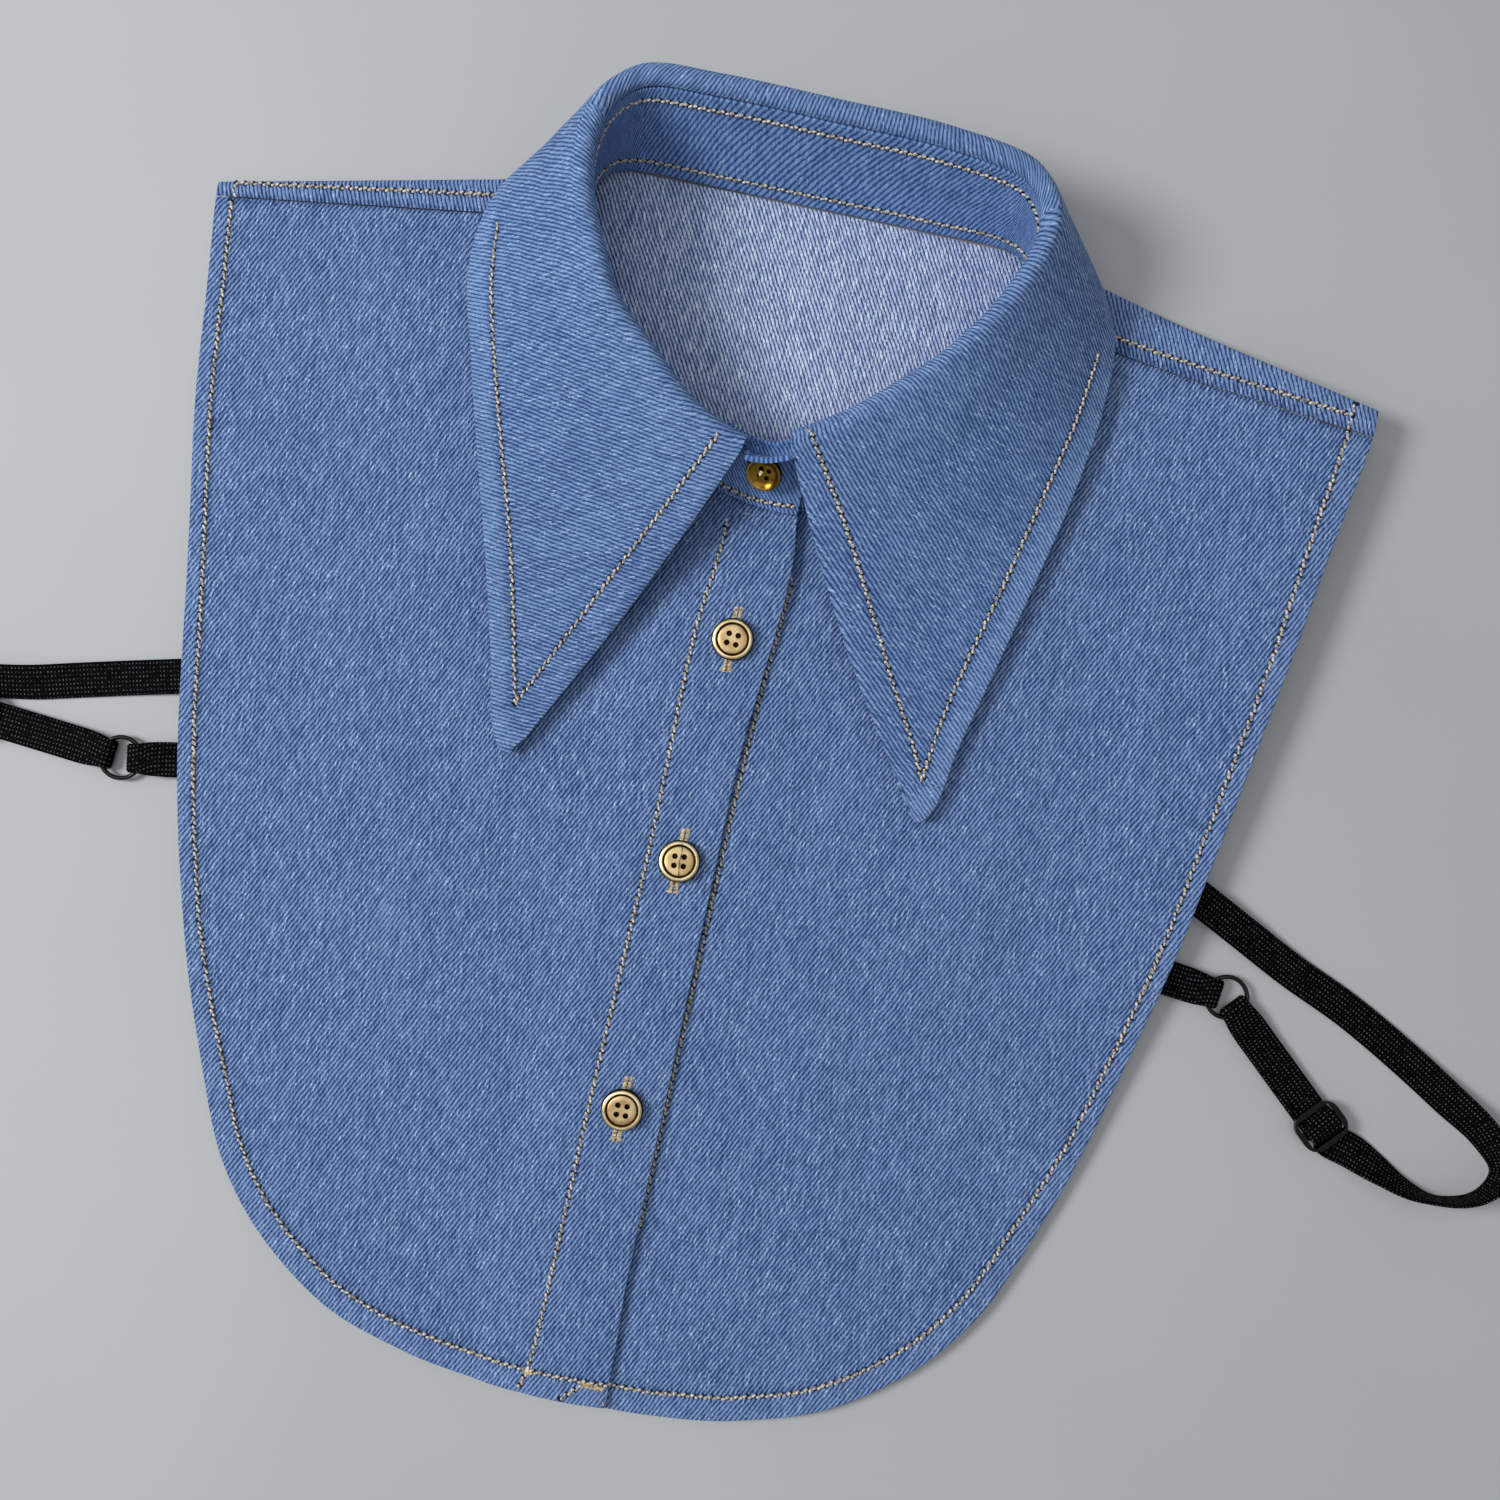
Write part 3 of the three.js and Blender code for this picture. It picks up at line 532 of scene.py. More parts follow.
def fold_radius(reach, sign):
    x = curled_in(sign * reach, fold_line(reach, sign))
    return (front_height(x, seam_line(reach, sign)) - lift(x, fold_line(reach, sign)) - PANEL / 2) / 2


def wrap_point(sign, reach, t):
    """The strip folded over a shoulder: half round the fold, then forward to the seam."""
    radius = fold_radius(reach, sign)
    fold_y = fold_line(reach, sign) - radius
    seam_y = min(seam_line(reach, sign) + BUTTED, fold_y - 0.2)
    x = curled_in(sign * reach, fold_y)
    low = lift(x, fold_y) + PANEL / 2
    if t <= WRAP_ROUND:
        angle = t / WRAP_ROUND * math.pi
        return Vector((x, fold_y + radius * math.sin(angle), low + radius * (1 - math.cos(angle))))
    share = (t - WRAP_ROUND) / (1 - WRAP_ROUND)
    z = mix(low + 2 * radius, front_height(x, seam_y), share)
    puff = 0.35 * math.sin(math.pi * share) + 0.12 * wander(x / 3.4, share * 2, 40)
    return Vector((x, mix(fold_y, seam_y, share), z + puff))


def shape_back(name, materials):
    half, neck_columns, body, wrap = 84, 30, 92, 26     # of the grid: columns from the middle, and rows
    hem_y = BACK_OUTLINE[0][1]
    neck_share = WRAP_INNER / HALF_SHOULDER

    def place(i, j):
        column = i - half
        sign = (column > 0) - (column < 0)
        count = abs(column)
        share = (neck_share * count / neck_columns if count <= neck_columns
                 else mix(neck_share, 1, (count - neck_columns) / (half - neck_columns)))
        reach = share * HALF_SHOULDER
        if j > body:
            t = (j - body) / wrap
            point = wrap_point(sign, reach, t)
            seam = soft((t - 0.9) / 0.08)
            point.z += 0.22 * seam * wander(reach / 2.6, 0, 44)
            # paler over the folded strip, and painted shade darkening the seam at its end
            return point, (-point.x, point.y + 3 * t), 0.35 - 1.1 * seam
        edge = back_outline.at(j / body)
        highest = (NECK_BACK_Y if count <= neck_columns
                   else fold_line(reach, sign) - fold_radius(reach, sign))
        rise = (edge.y - hem_y) / (BACK_OUTLINE[-1][1] - hem_y)
        y = mix(edge.y, highest, soft(rise * 1.6 - 0.6))
        x = curled_in(sign * share * edge.x, y)
        inside = soft((62 - math.hypot(x, y - 112)) / 12)
        swell = inside * (0.35 + 0.35 * wander(x / 22, y / 26, 50) + 0.5 * math.exp(-((x - 34) / 9) ** 2
                                                                                   - ((y - 128) / 18) ** 2))
        return Vector((x, y, lift(x, y) + PANEL / 2 + swell)), (-x, y), 0

    def keep(i, j):
        return j < body or abs(i + 0.5 - half) > neck_columns

    bm = cloth_grid(2 * half, body + wrap, place, keep)
    return thicken(finish_piece(bm, name, materials), PANEL - 0.25, 0.4)


# ---- the stand and the fall --------------------------------------------------------------------------------
STAND_STITCHES = dict(foot=0.13, top=0.86)     # shares of the stand's height
A_ROW = 18.5                   # length of stand from one ring row to the next
STAND_HEIGHT = 30


def stand_surface(row, share):
    """Middle of the stand's wall with its soft creases and the curled top edge of its outer end."""
    point = stand_point(row, share)
    square, along = stand_square(row)
    edge_ribs = 0.16 * math.sin(row * 13.5 * 2 * math.pi) * soft((share - 0.9) / 0.1)
    outer_end = soft((row - (ROWS - 0.26)) / 0.14) * soft((ROWS + 0.52 - row) / 0.14)
    inner_end = soft((0.6 - row) / 0.3)
    over = soft((share - 0.84) / 0.16)
    curl = outer_end * 6.8 * over ** 1.5 - inner_end * 1.3 * soft((share - 0.6) / 0.4)
    rise = outer_end * 1.3 * over
    creases = 0.35 * wander(row * 1.1, share * 2.2, 60) + 0.3 * math.exp(
        -(((row - 12.1) / 0.35) ** 2) - ((share - 0.66) / 0.12) ** 2) * math.sin(row * 30)
    creases -= 0.55 * math.exp(-(((row - 8.3) / 0.9) ** 2) - ((share - 0.5 - (row - 8.3) * 0.08) / 0.05) ** 2)
    middle = math.sin(math.pi * share)
    return point + square * (curl + edge_ribs + creases * middle * 0.8) + along * rise


def shape_stand(name, material):
    ends, middle, rows = 62, 230, 22
    columns = 2 * ends + middle
    end_rows = 1.6

    def place(i, j):
        if i < ends:
            row = -STAND_END + end_rows * i / ends
        elif i > ends + middle:
            row = ROWS + STAND_END - end_rows * (columns - i) / ends
        else:
            row = mix(end_rows - STAND_END, ROWS + STAND_END - end_rows, (i - ends) / middle)
        share = j / rows
        near_end = soft((1.2 - min(row, ROWS - row)) / 0.4)
        # painted shade: darker at the top near the stand's ends, where its top edge curls over
        worn = -0.7 * near_end * soft((share - 0.82) / 0.1)
        return stand_surface(row, share), (row * A_ROW, share * STAND_HEIGHT), worn

    bm = cloth_grid(columns, rows, place)
    return thicken(finish_piece(bm, name, [material]), DOUBLED - 0.1, 0.55)


TURNED = 7.0                   # from the fall's edges to its stitches


def fall_place(u, v):
    """Middle of the fall's wall: over the stand's top, down behind the neck, and the two leaves in front."""
    row, drop = fall_hang.at(u)
    foot, top = stand_point(row, 0), stand_point(row, 1)
    square, along = stand_square(row)

    def rolled(t):
        section = roll.at(t)
        return top + along * section.x + square * section.y

    if v <= ROLL_SHARE:
        return rolled(v / ROLL_SHARE)
    t = (v - ROLL_SHARE) / (1 - ROLL_SHARE)
    high, low = rolled(1), fall_edge.at(u)
    point = high.lerp(low, t)
    point.x -= leaf_bow(u) * math.sin(math.pi * t)
    point.z = low.z + (high.z - low.z) * (1 - t) ** drop
    return point


LEAF_RIGHT_STITCH = [(10.9, 87.2), (27.1, 63.5), (47.8, 27.4), (57.3, 11.1), (62, 1.5)]
LEAF_RIGHT_OUTER = [(84.6, 127), (82.6, 108), (79.4, 91.3), (72.9, 60), (66.2, 31.4), (63.7, 17.6), (62, 1.5)]
LEAF_LEFT_STITCH = [(-13.1, 81), (-34, 40.5), (-54.2, -0.8)]
LEAF_LEFT_OUTER = [(-85.6, 128), (-84, 110.6), (-77, 83.2), (-63.6, 38.2), (-54.2, -0.8)]


def off_line(line, x, y):
    """How far a point is from a line of stitches."""
    best = 1e9
    for (x0, y0), (x1, y1) in zip(line, line[1:]):
        dx, dy = x1 - x0, y1 - y0
        t = min(max(((x - x0) * dx + (y - y0) * dy) / (dx * dx + dy * dy), 0), 1)
        best = min(best, math.hypot(x - x0 - t * dx, y - y0 - t * dy))
    return best


def shape_fall(name, material):
    a_row, rows = 13, 60
    columns = a_row * (len(FALL_EDGE) - 1)
    crest = 12                 # the row of the grid on top of the roll
    drops = [(j / rows) ** 0.9 for j in range(rows + 1)]
    middles = [[fall_place(i / columns, v) for v in drops] for i in range(columns + 1)]
    runs = [list(accumulate(((b - a).length for a, b in zip(line, line[1:])), initial=0)) for line in middles]

    def place(i, j):
        u, v = i / columns, drops[j]
        point = middles[i][j].copy()
        x, y = point.x, point.y
        off_edge = (fall_edge.at(u) - point).length
        leaf = soft((v - ROLL_SHARE) / 0.2)
        off = min(off_line(line, x, y) for line in
                  (LEAF_RIGHT_STITCH, LEAF_RIGHT_OUTER, LEAF_LEFT_STITCH, LEAF_LEFT_OUTER))
        point.z += leaf * (-0.32 * math.exp(-((off / 0.8) ** 2)) + 0.3 * soft((9 - off_edge) / 3)
                           + 0.1 * math.exp(-((off / 3.5) ** 2)) * wander(x / 3, y / 3, 70)
                           + 0.5 * wander(x / 24, y / 30, 71) * soft((1 - v) / 0.15)
                           + 0.1 * wander(x / 7, y / 8, 73))
        trough = math.exp(-(((v - 0.55) / 0.07) ** 2)) * (0.6 + 0.4 * wander(x / 40, y / 40, 75))
        point.z -= 0.8 * leaf * trough
        top = middles[i][crest]
        outward = (middles[i][rows] - top).xy.normalized()
        flat = top.xy + outward * (runs[i][j] - runs[i][crest])
        # paler towards the turned edges where the cloth is worn, painted shade along the rows of stitches,
        # and a painted highlight over the roll
        hem_wear_and_shade = 0.6 * soft((TURNED + 0.5 - off_edge) / 1.5) - 0.9 * math.exp(-((off / 1.1) ** 2))
        return point, tuple(flat), 0.3 * (1 - leaf) + leaf * hem_wear_and_shade

    def turn(i, j):
        row = fall_hang.at((i + 0.5) / columns)[0]
        if row < 6.5:
            return math.radians(134 - 63)
        return math.radians(77 - 63) if row < 13.5 else math.radians(-5 - 63)

    bm = cloth_grid(columns, rows, place, turn=turn)
    return thicken(finish_piece(bm, name, [material]), DOUBLED - 0.1, 0.6)


# ---- materials ---------------------------------------------------------------------------------------------
def linear(code):
    """A colour from its sRGB hex value."""
    parts = [(code >> shift & 255) / 255 for shift in (16, 8, 0)]
    return tuple(p / 12.92 if p <= 0.04045 else ((p + 0.055) / 1.055) ** 2.4 for p in parts) + (1.0,)


def feed(tree, made, *sources, **links):
    """Feeds a node's sockets in order, then by name: a number, a node's first output or a given output."""
    named = [(made.inputs[name.replace("_", " ")], source) for name, source in links.items()]
    for socket, source in [*zip(made.inputs, sources), *named]:
        if isinstance(source, (int, float)):
            socket.default_value = source
        else:
            tree.links.new(source if isinstance(source, bpy.types.NodeSocket) else source.outputs[0], socket)


def node(tree, kind, settings, *sources, **links):
    """Adds a node: its settings, its sockets' values by name or number, a ramp's stops, and its links."""
    made = tree.nodes.new(kind)
    for key, value in settings.items():
        if key == "stops":
            stops = made.color_ramp.elements
            while len(stops) < len(value):
                stops.new(1.0)
            for stop, (position, color) in zip(stops, value):
                stop.position, stop.color = position, linear(color)
        elif isinstance(key, str) and hasattr(made, key):
            setattr(made, key, value)
        else:
            made.inputs[key].default_value = value
    feed(tree, made, *sources, **links)
    return made


MATH, NOISE, RAMP, BUMP = "ShaderNodeMath", "ShaderNodeTexNoise", "ShaderNodeValToRGB", "ShaderNodeBump"
ADD, SUBTRACT, MULTIPLY, DIVIDE, MULTIPLY_ADD, POWER, SINE, FLOOR, FRACT, GREATER_THAN = (
    {"operation": name} for name in ("ADD", "SUBTRACT", "MULTIPLY", "DIVIDE", "MULTIPLY_ADD", "POWER", "SINE",
                                     "FLOOR", "FRACT", "GREATER_THAN"))


def new_material(name, color, roughness, **settings):
    material = bpy.data.materials.new(name)
    material.use_nodes = True
    tree = material.node_tree
    shader = tree.nodes["Principled BSDF"]
    shader.inputs["Base Color"].default_value = linear(color)
    shader.inputs["Roughness"].default_value = roughness
    for key, value in settings.items():
        shader.inputs[key.replace("_", " ")].default_value = value
    return material, tree, shader


def own_place(tree):
    return node(tree, "ShaderNodeTexCoord", {}).outputs["Object"]


def denim(name, light, mid, dark, fleck, flecks, rib=1.06, lean=63, contrast=1.0):
    """Indigo cotton twill, woven 3 over 1 and piece washed.

    The eye gets slanting ribs with faded tops and darker grooves, and pale flecks where the dye has gone.
    The ribs are drawn about 1.06 mm apart, a little coarser than the real 0.95 mm, so that they show."""
    material, tree, shader = new_material(name, 0x6080B0, 0.86, Specular_IOR_Level=0.22, Sheen_Weight=0.12,
                                          Sheen_Roughness=0.5, Sheen_Tint=linear(0xB8C6E0))
    uv = node(tree, "ShaderNodeUVMap", {"uv_map": "cloth"})
    # the weave: warp yarns side by side, each a row of floats, every yarn a quarter of a float further on
    pitch = rib / math.sin(math.radians(lean)) / 4
    period = 4 * pitch * math.tan(math.radians(lean))
    swerve = node(tree, NOISE, {"Scale": 0.09, "Detail": 2.0}, Vector=uv)
    split = node(tree, "ShaderNodeSeparateXYZ", {}, uv).outputs
    yarn = node(tree, MATH, DIVIDE, split[0], pitch)
    yarn_number = node(tree, MATH, FLOOR, yarn)
    half_turn = node(tree, MATH, MULTIPLY, node(tree, MATH, FRACT, yarn), math.pi)
    across = node(tree, MATH, SINE, half_turn)
    way = node(tree, MATH, SUBTRACT, node(tree, MATH, DIVIDE, split[1], period),
               node(tree, MATH, MULTIPLY, yarn, 0.25))
    way = node(tree, MATH, ADD, way, node(tree, MATH, MULTIPLY, swerve, 1.1))
    float_number = node(tree, MATH, FLOOR, way)
    along = node(tree, MATH, MULTIPLY, node(tree, MATH, FRACT, way), math.pi)
    hump = node(tree, MATH, POWER, node(tree, MATH, SINE, along), 0.8)
    weave = node(tree, MATH, MULTIPLY, hump, node(tree, MATH, MULTIPLY_ADD, across, 0.35, 0.65))
    cell = node(tree, "ShaderNodeCombineXYZ", {}, yarn_number, float_number)
    luck = node(tree, "ShaderNodeTexWhiteNoise", {"noise_dimensions": "3D"}, Vector=cell)
    # the wash: streaks along the warp, slow clouds and fuzz; then wear on the edges, with painted shade along
    # stitch rows, seams and the stand's ends and a painted highlight over the fall's roll
    streak_way = node(tree, "ShaderNodeMapping", {"Scale": (0.3, 0.02, 1.0)}, Vector=uv)
    streaks = node(tree, NOISE, {"Scale": 1.0, "Detail": 3.0}, Vector=streak_way)
    cloud = node(tree, NOISE, {"Scale": 0.035, "Detail": 4.0, "Roughness": 0.6}, Vector=uv)
    grain = node(tree, NOISE, {"Scale": 1.3, "Detail": 2.0}, Vector=uv)
    tone = node(tree, MATH, MULTIPLY_ADD, weave, 1.1 * contrast, 0.46 - 0.56 * contrast)
    for part, share in ((luck, 0.42 * contrast), (streaks, 0.16), (cloud, 0.2), (grain, 0.6 * contrast)):
        change = node(tree, MATH, MULTIPLY, node(tree, MATH, SUBTRACT, part, 0.5), share)
        tone = node(tree, MATH, ADD, tone, change)
    worn = node(tree, "ShaderNodeAttribute", {"attribute_name": "worn"}).outputs["Fac"]
    tone = node(tree, MATH, MULTIPLY_ADD, worn, 0.2, tone)
    dyed = node(tree, RAMP, {"stops": ((0.08, dark), (0.5, mid), (0.92, light))}, tone)
    # the flecks
    chance = node(tree, MATH, MULTIPLY, luck, node(tree, MATH, ADD, grain, 0.5))
    spark = node(tree, MATH, MULTIPLY, node(tree, MATH, GREATER_THAN, chance, flecks),
                 node(tree, MATH, MULTIPLY, hump, 0.8))
    colour = node(tree, "ShaderNodeMix", {"data_type": "RGBA", "clamp_factor": True, 7: linear(fleck)}, spark)
    tree.links.new(dyed.outputs[0], colour.inputs[6])
    height = node(tree, MATH, ADD, weave, node(tree, MATH, MULTIPLY, grain, 0.8))
    bump = node(tree, BUMP, {"Strength": 0.9, "Distance": 0.12 * MM}, Height=height)
    feed(tree, shader, Base_Color=colour.outputs[2], Normal=bump)
    return material


def thread(name, light, dark):
    """Spun polyester sewing thread, twisted: the eye gets fine stripes of a lighter and a darker strand."""
    material, tree, shader = new_material(name, light, 0.62, Specular_IOR_Level=0.35, Sheen_Weight=0.2)
    coarse = node(tree, NOISE, {"Scale": 1500.0, "Detail": 1.0}, Vector=own_place(tree))
    strands = node(tree, RAMP, {"stops": ((0.36, dark), (0.6, light))}, coarse)
    bump = node(tree, BUMP, {"Strength": 0.5, "Distance": 0.1 * MM}, Height=coarse)
    feed(tree, shader, Base_Color=strands, Normal=bump)
    return material


def painted_shade_indigo(name):
    """Painted shade: a flat dark indigo for the shaded dimples between the stitches, too small to show a
    weave.
    """
    return new_material(name, 0x141B30, 0.95, Specular_IOR_Level=0.1)[0]


def elastic_band(name):
    """Braided elastic, black polyester over rubber: ribs 1.25 mm apart, with small grey painted highlights on
    the yarn painted into its colour.
    """
    material, tree, shader = new_material(name, 0x020203, 0.8, Specular_IOR_Level=0.06)
    uv = node(tree, "ShaderNodeUVMap", {"uv_map": "cloth"})
    split = node(tree, "ShaderNodeSeparateXYZ", {}, uv).outputs
    waves = []
    for socket, spacing in ((split[0], 1.0), (split[1], 1.25)):
        wave = node(tree, MATH, SINE, node(tree, MATH, MULTIPLY, socket, 2 * math.pi / spacing))
        waves.append(node(tree, MATH, MULTIPLY_ADD, wave, 0.5, 0.5))
    cross = node(tree, MATH, MULTIPLY, *waves)
    luck = node(tree, NOISE, {"Scale": 1.6, "Detail": 2.0}, Vector=uv)
    luck = node(tree, MATH, MULTIPLY, node(tree, MATH, SUBTRACT, luck, 0.36), 6.0)
    # painted highlights: grey glints on the crossings of the ribs, painted into the base colour
    painted_glint = node(tree, MATH, MULTIPLY, node(tree, MATH, POWER, cross, 3.0), luck)
    yarns = node(tree, RAMP, {"stops": ((0.1, 0x010102), (1.0, 0x59595F))}, painted_glint)
    bump = node(tree, BUMP, {"Strength": 0.8, "Distance": 0.15 * MM}, Height=cross)
    feed(tree, shader, Base_Color=yarns, Normal=bump)
    return material


def brass(name, light, dark, roughness):
    """Cast brass, plated and aged: bright where it is rubbed on the high places and brown in the low ones."""
    material, tree, shader = new_material(name, light, roughness, Metallic=1.0)
    wear = node(tree, NOISE, {"Scale": 300.0, "Detail": 4.0}, Vector=own_place(tree))
    tarnish = node(tree, RAMP, {"stops": ((0.32, dark), (0.62, light))}, wear)
    rough = node(tree, "ShaderNodeMapRange", {3: roughness - 0.07, 4: roughness + 0.12}, wear)
    bump = node(tree, BUMP, {"Strength": 0.15, "Distance": 0.05 * MM}, Height=wear)
    feed(tree, shader, Base_Color=tarnish, Roughness=rough, Normal=bump)
    return material


def black_coat(name):
    """Zinc alloy under a baked black nylon coat: glossy, with a faint orange peel in its highlights."""
    material, tree, shader = new_material(name, 0x040405, 0.14, Specular_IOR_Level=0.4)
    peel = node(tree, NOISE, {"Scale": 700.0, "Detail": 2.0}, Vector=own_place(tree))
    rough = node(tree, "ShaderNodeMapRange", {3: 0.1, 4: 0.2}, peel)
    bump = node(tree, BUMP, {"Strength": 0.12, "Distance": 0.05 * MM}, Height=peel)
    feed(tree, shader, Roughness=rough, Normal=bump)
    return material


def painted_board(name):
    """Matt painted board: pale grey, with a faint unevenness from the roller."""
    material, tree, shader = new_material(name, 0xB0B3B5, 0.75, Specular_IOR_Level=0.2)
    mottle = node(tree, NOISE, {"Scale": 5.0, "Detail": 3.0}, Vector=own_place(tree))
    feed(tree, shader, Base_Color=node(tree, RAMP, {"stops": ((0.2, 0xACAFB1), (0.8, 0xB4B7B9))}, mottle))
    return material


# The right side of the cloth: mid blue, evenly washed
FRONT_CLOTH = denim("washed denim twill", 0x7D97C4, 0x436192, 0x182A56, 0xB4C8E8, 1.0, contrast=1.12)
# The fall: the same cloth in two layers, its ribs pressed flatter and so less marked
FALL_CLOTH = denim("washed denim twill, fall", 0x7F9CC8, 0x456496, 0x1F3362, 0xB4C8E8, 1.02, contrast=0.9)
# The wrong side: mostly undyed weft, so it looks pale and speckled
WRONG_SIDE = denim("washed denim twill, wrong side", 0xC2CEE8, 0x7389B6, 0x2F436F, 0xECF0FA, 0.92,
                   lean=60, contrast=1.22)
# The stand: cut along the cloth, so its ribs lean the other way, and painted lighter for the light its inner
# face catches
STAND_CLOTH = denim("washed denim twill, stand, painted lighter", 0x88A8D8, 0x5377B0, 0x25427C, 0xBCD0EE, 1.06, lean=-68)
# Tan thread with a greyed strand for the topstitching, golden thread for buttonholes and tacks
TAN_THREAD = thread("spun polyester thread, tan", 0xDCD2C2, 0x7A7168)
GOLD_THREAD = thread("spun polyester thread, golden", 0xEAD6A8, 0x9C7C4A)
SHADE_INDIGO = painted_shade_indigo("dark indigo, painted shade")
# Placket buttons: a rim rubbed pale, a groove left dark and a disc brushed dull
BRIGHT_BRASS = brass("aged brass, worn rim", 0xF6E8C0, 0xD9BE88, 0.33)
DARK_BRASS = brass("aged brass, dark groove", 0x3A2A14, 0x1E150A, 0.5)
DISC_BRASS = brass("aged brass, brushed disc", 0xD6BC90, 0xB4976A, 0.42)
# The neck button is smoother, and its colours are painted darker for the shade of the fall over it: a rim in
# painted shade round a dark, shiny bowl
SHADED_RIM_BRASS = brass("aged brass, rim in painted shade", 0xC2A058, 0x73561C, 0.3)
SHADED_BOWL_BRASS = brass("aged brass, bowl in painted shade", 0xA3802F, 0x60450F, 0.25)
ELASTIC_CLOTH = elastic_band("braided elastic, black")
BLACK_COAT = black_coat("coated zinc alloy, black")
TABLE = painted_board("painted board, pale grey")


# ---- the cloth pieces --------------------------------------------------------------------------------------
front_over = shape_front("denim_front_over", -1, [FRONT_CLOTH, WRONG_SIDE])
front_under = shape_front("denim_front_under", 1, [FRONT_CLOTH, WRONG_SIDE])
back = shape_back("denim_back_panel", [WRONG_SIDE, FRONT_CLOTH])
stand = shape_stand("denim_stand", STAND_CLOTH)
fall = shape_fall("denim_fall", FALL_CLOTH)
for piece, cad_node in ((front_over, "front_over"), (front_under, "front_under"), (back, "back_panel"),
                        (stand, "collar_stand"), (fall, "collar_fall")):
    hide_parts(cad_node)


# ---- stitches ----------------------------------------------------------------------------------------------
def skin(piece):
    """The finished surface of a piece, to sew on."""
    graph = bpy.context.evaluated_depsgraph_get()
    return BVHTree.FromObject(piece, graph)


def lay_on(surfaces, line):
    """Drops a line of X and Y onto the highest of the given surfaces: places and normals."""
    laid = []
    for x, y in line:
        hits = [s.ray_cast(Vector((x, y, 90)) * MM, Vector((0, 0, -1))) for s in surfaces]
        hits = [(h[0] / MM, h[1]) for h in hits if h[0] is not None]
        if hits:
            laid.append(max(hits, key=lambda h: h[0].z))
    return laid


def fine_line(points, step=0.4):
    """A smooth line through a few points, in short steps."""
    curve = Curve(points)
    length = sum((Vector(a) - Vector(b)).length for a, b in zip(points, points[1:]))
    count = max(2, round(length / step))
    return [tuple(curve.at(k / count)) for k in range(count + 1)]


def sew(bm, laid, seed=0.0):
    """A row of lockstitches along places and normals: two twisted strands a stitch, and a dark disc of
    painted shade in its gap.
    """
    run, next_at = 0.0, 0.0
    count = 0
    for (a, na), (b, nb) in zip(laid, laid[1:]):
        step = (b - a).length
        while step > 1e-6 and next_at <= run + step:
            place = a.lerp(b, (next_at - run) / step)
            normal = na.lerp(nb, 0.5).normalized()
            along = (b - a).normalized()
            side = normal.cross(along).normalized()
            along = side.cross(normal)
            luck = wander(count * 0.7, seed, 3.3)
            turned = Matrix.Rotation(math.radians(24 + 14 * luck), 4, normal)
            axes = Matrix((along, side, normal)).transposed().to_4x4()
            size = Matrix.Diagonal((0.85, 0.86 * (1 + 0.25 * luck), STITCH * 0.54 * (1 + 0.2 * luck), 1))
            where = Matrix.Translation(place + normal * 0.17 + side * (0.2 if count % 2 else -0.2))
            lying = axes @ Matrix.Rotation(math.pi / 2, 4, "Y") @ size
            bmesh.ops.create_uvsphere(bm, u_segments=7, v_segments=5, radius=0.5,
                                      matrix=where @ turned @ lying)
            # painted shade: a flat dark disc in the gap after every second strand
            if count % 2:
                gap = Matrix.Translation(place + along * STITCH / 4 + normal * 0.17) @ axes
                made = bmesh.ops.create_circle(bm, cap_ends=True, segments=8, radius=0.5,
                                               matrix=gap @ Matrix.Diagonal((1.2, 2.0, 1, 1)))
                for face in {f for v in made["verts"] for f in v.link_faces}:
                    face.material_index = 1
            next_at += STITCH / 2
            count += 1
        run += step


def stitched(name, rows):
    bm = bmesh.new()
    for number, laid in enumerate(rows):
        sew(bm, laid, seed=number * 3.1)
    piece = finish_piece(bm, name, [TAN_THREAD, SHADE_INDIGO])
    return piece


over_skin, under_skin, fall_skin, back_skin = skin(front_over), skin(front_under), skin(fall), skin(back)


def hem_line(sign, first, last, step=0.0009):
    """The hem's stitch line on a front, from one share of the outline to another."""
    line = []
    count = round((last - first) / step)
    for k in range(count + 1):
        s = mix(first, last, k / count)
        edge, neck = front_place(sign, s, 1), front_place(sign, s, 0)
        beside = front_place(sign, min(s + 0.004, 1), 1) - front_place(sign, max(s - 0.004, 0), 1)
        across = abs((edge - neck).cross(beside)) / beside.length
        inset = hem_width(sign, s) + 0.25 * wander(s * 40, sign, 2)
        line.append(tuple(front_place(sign, s, 1 - inset / across)))
    return line


def side_seam_line(sign):
    """The stitches on the folded strip, just above the shoulder seam."""
    line = []
    for k in range(250):
        reach = mix(WRAP_INNER + 18, HALF_SHOULDER - hem_width(sign, 1), k / 249)
        gap = 4 + (HALF_SHOULDER - reach) * (0.016 if sign < 0 else 0.002)
        seam_y = seam_line(reach, sign) + gap
        line.append((curled_in(sign * reach, seam_y), seam_y))
    return line


def tip_line(sign):
    """The hem's stitches carried over the folded strip at a shoulder's tip."""
    reach = HALF_SHOULDER - hem_width(sign, 1)
    low, high = seam_line(reach, sign) + 0.6, fold_line(reach, sign) - 0.7
    return [(curled_in(sign * reach, low) - sign * 0.6, low), (curled_in(sign * reach, high), high)]


hem_rows = [
    lay_on([over_skin], hem_line(-1, 0.0, 0.998)), lay_on([under_skin], hem_line(1, 0.052, 0.998)),
    *(lay_on([back_skin], tip_line(sign)) for sign in (-1, 1)),
]
stitched("hem_stitches", hem_rows)
placket_rows = [
    lay_on([over_skin], fine_line(PLACKET_STITCH)), lay_on([under_skin], fine_line(FACING_STITCH)),
    lay_on([over_skin], fine_line([(-12.2, -184.6), (-13.6, -190)])),
    lay_on([over_skin], fine_line([(3.5, -185.7), (-1.2, -190)])),
]
stitched("placket_stitches", placket_rows)
stitched("shoulder_stitches", [lay_on([back_skin], side_seam_line(sign)) for sign in (-1, 1)])
leaf_lines = [LEAF_RIGHT_STITCH, LEAF_RIGHT_OUTER, LEAF_LEFT_STITCH, LEAF_LEFT_OUTER]
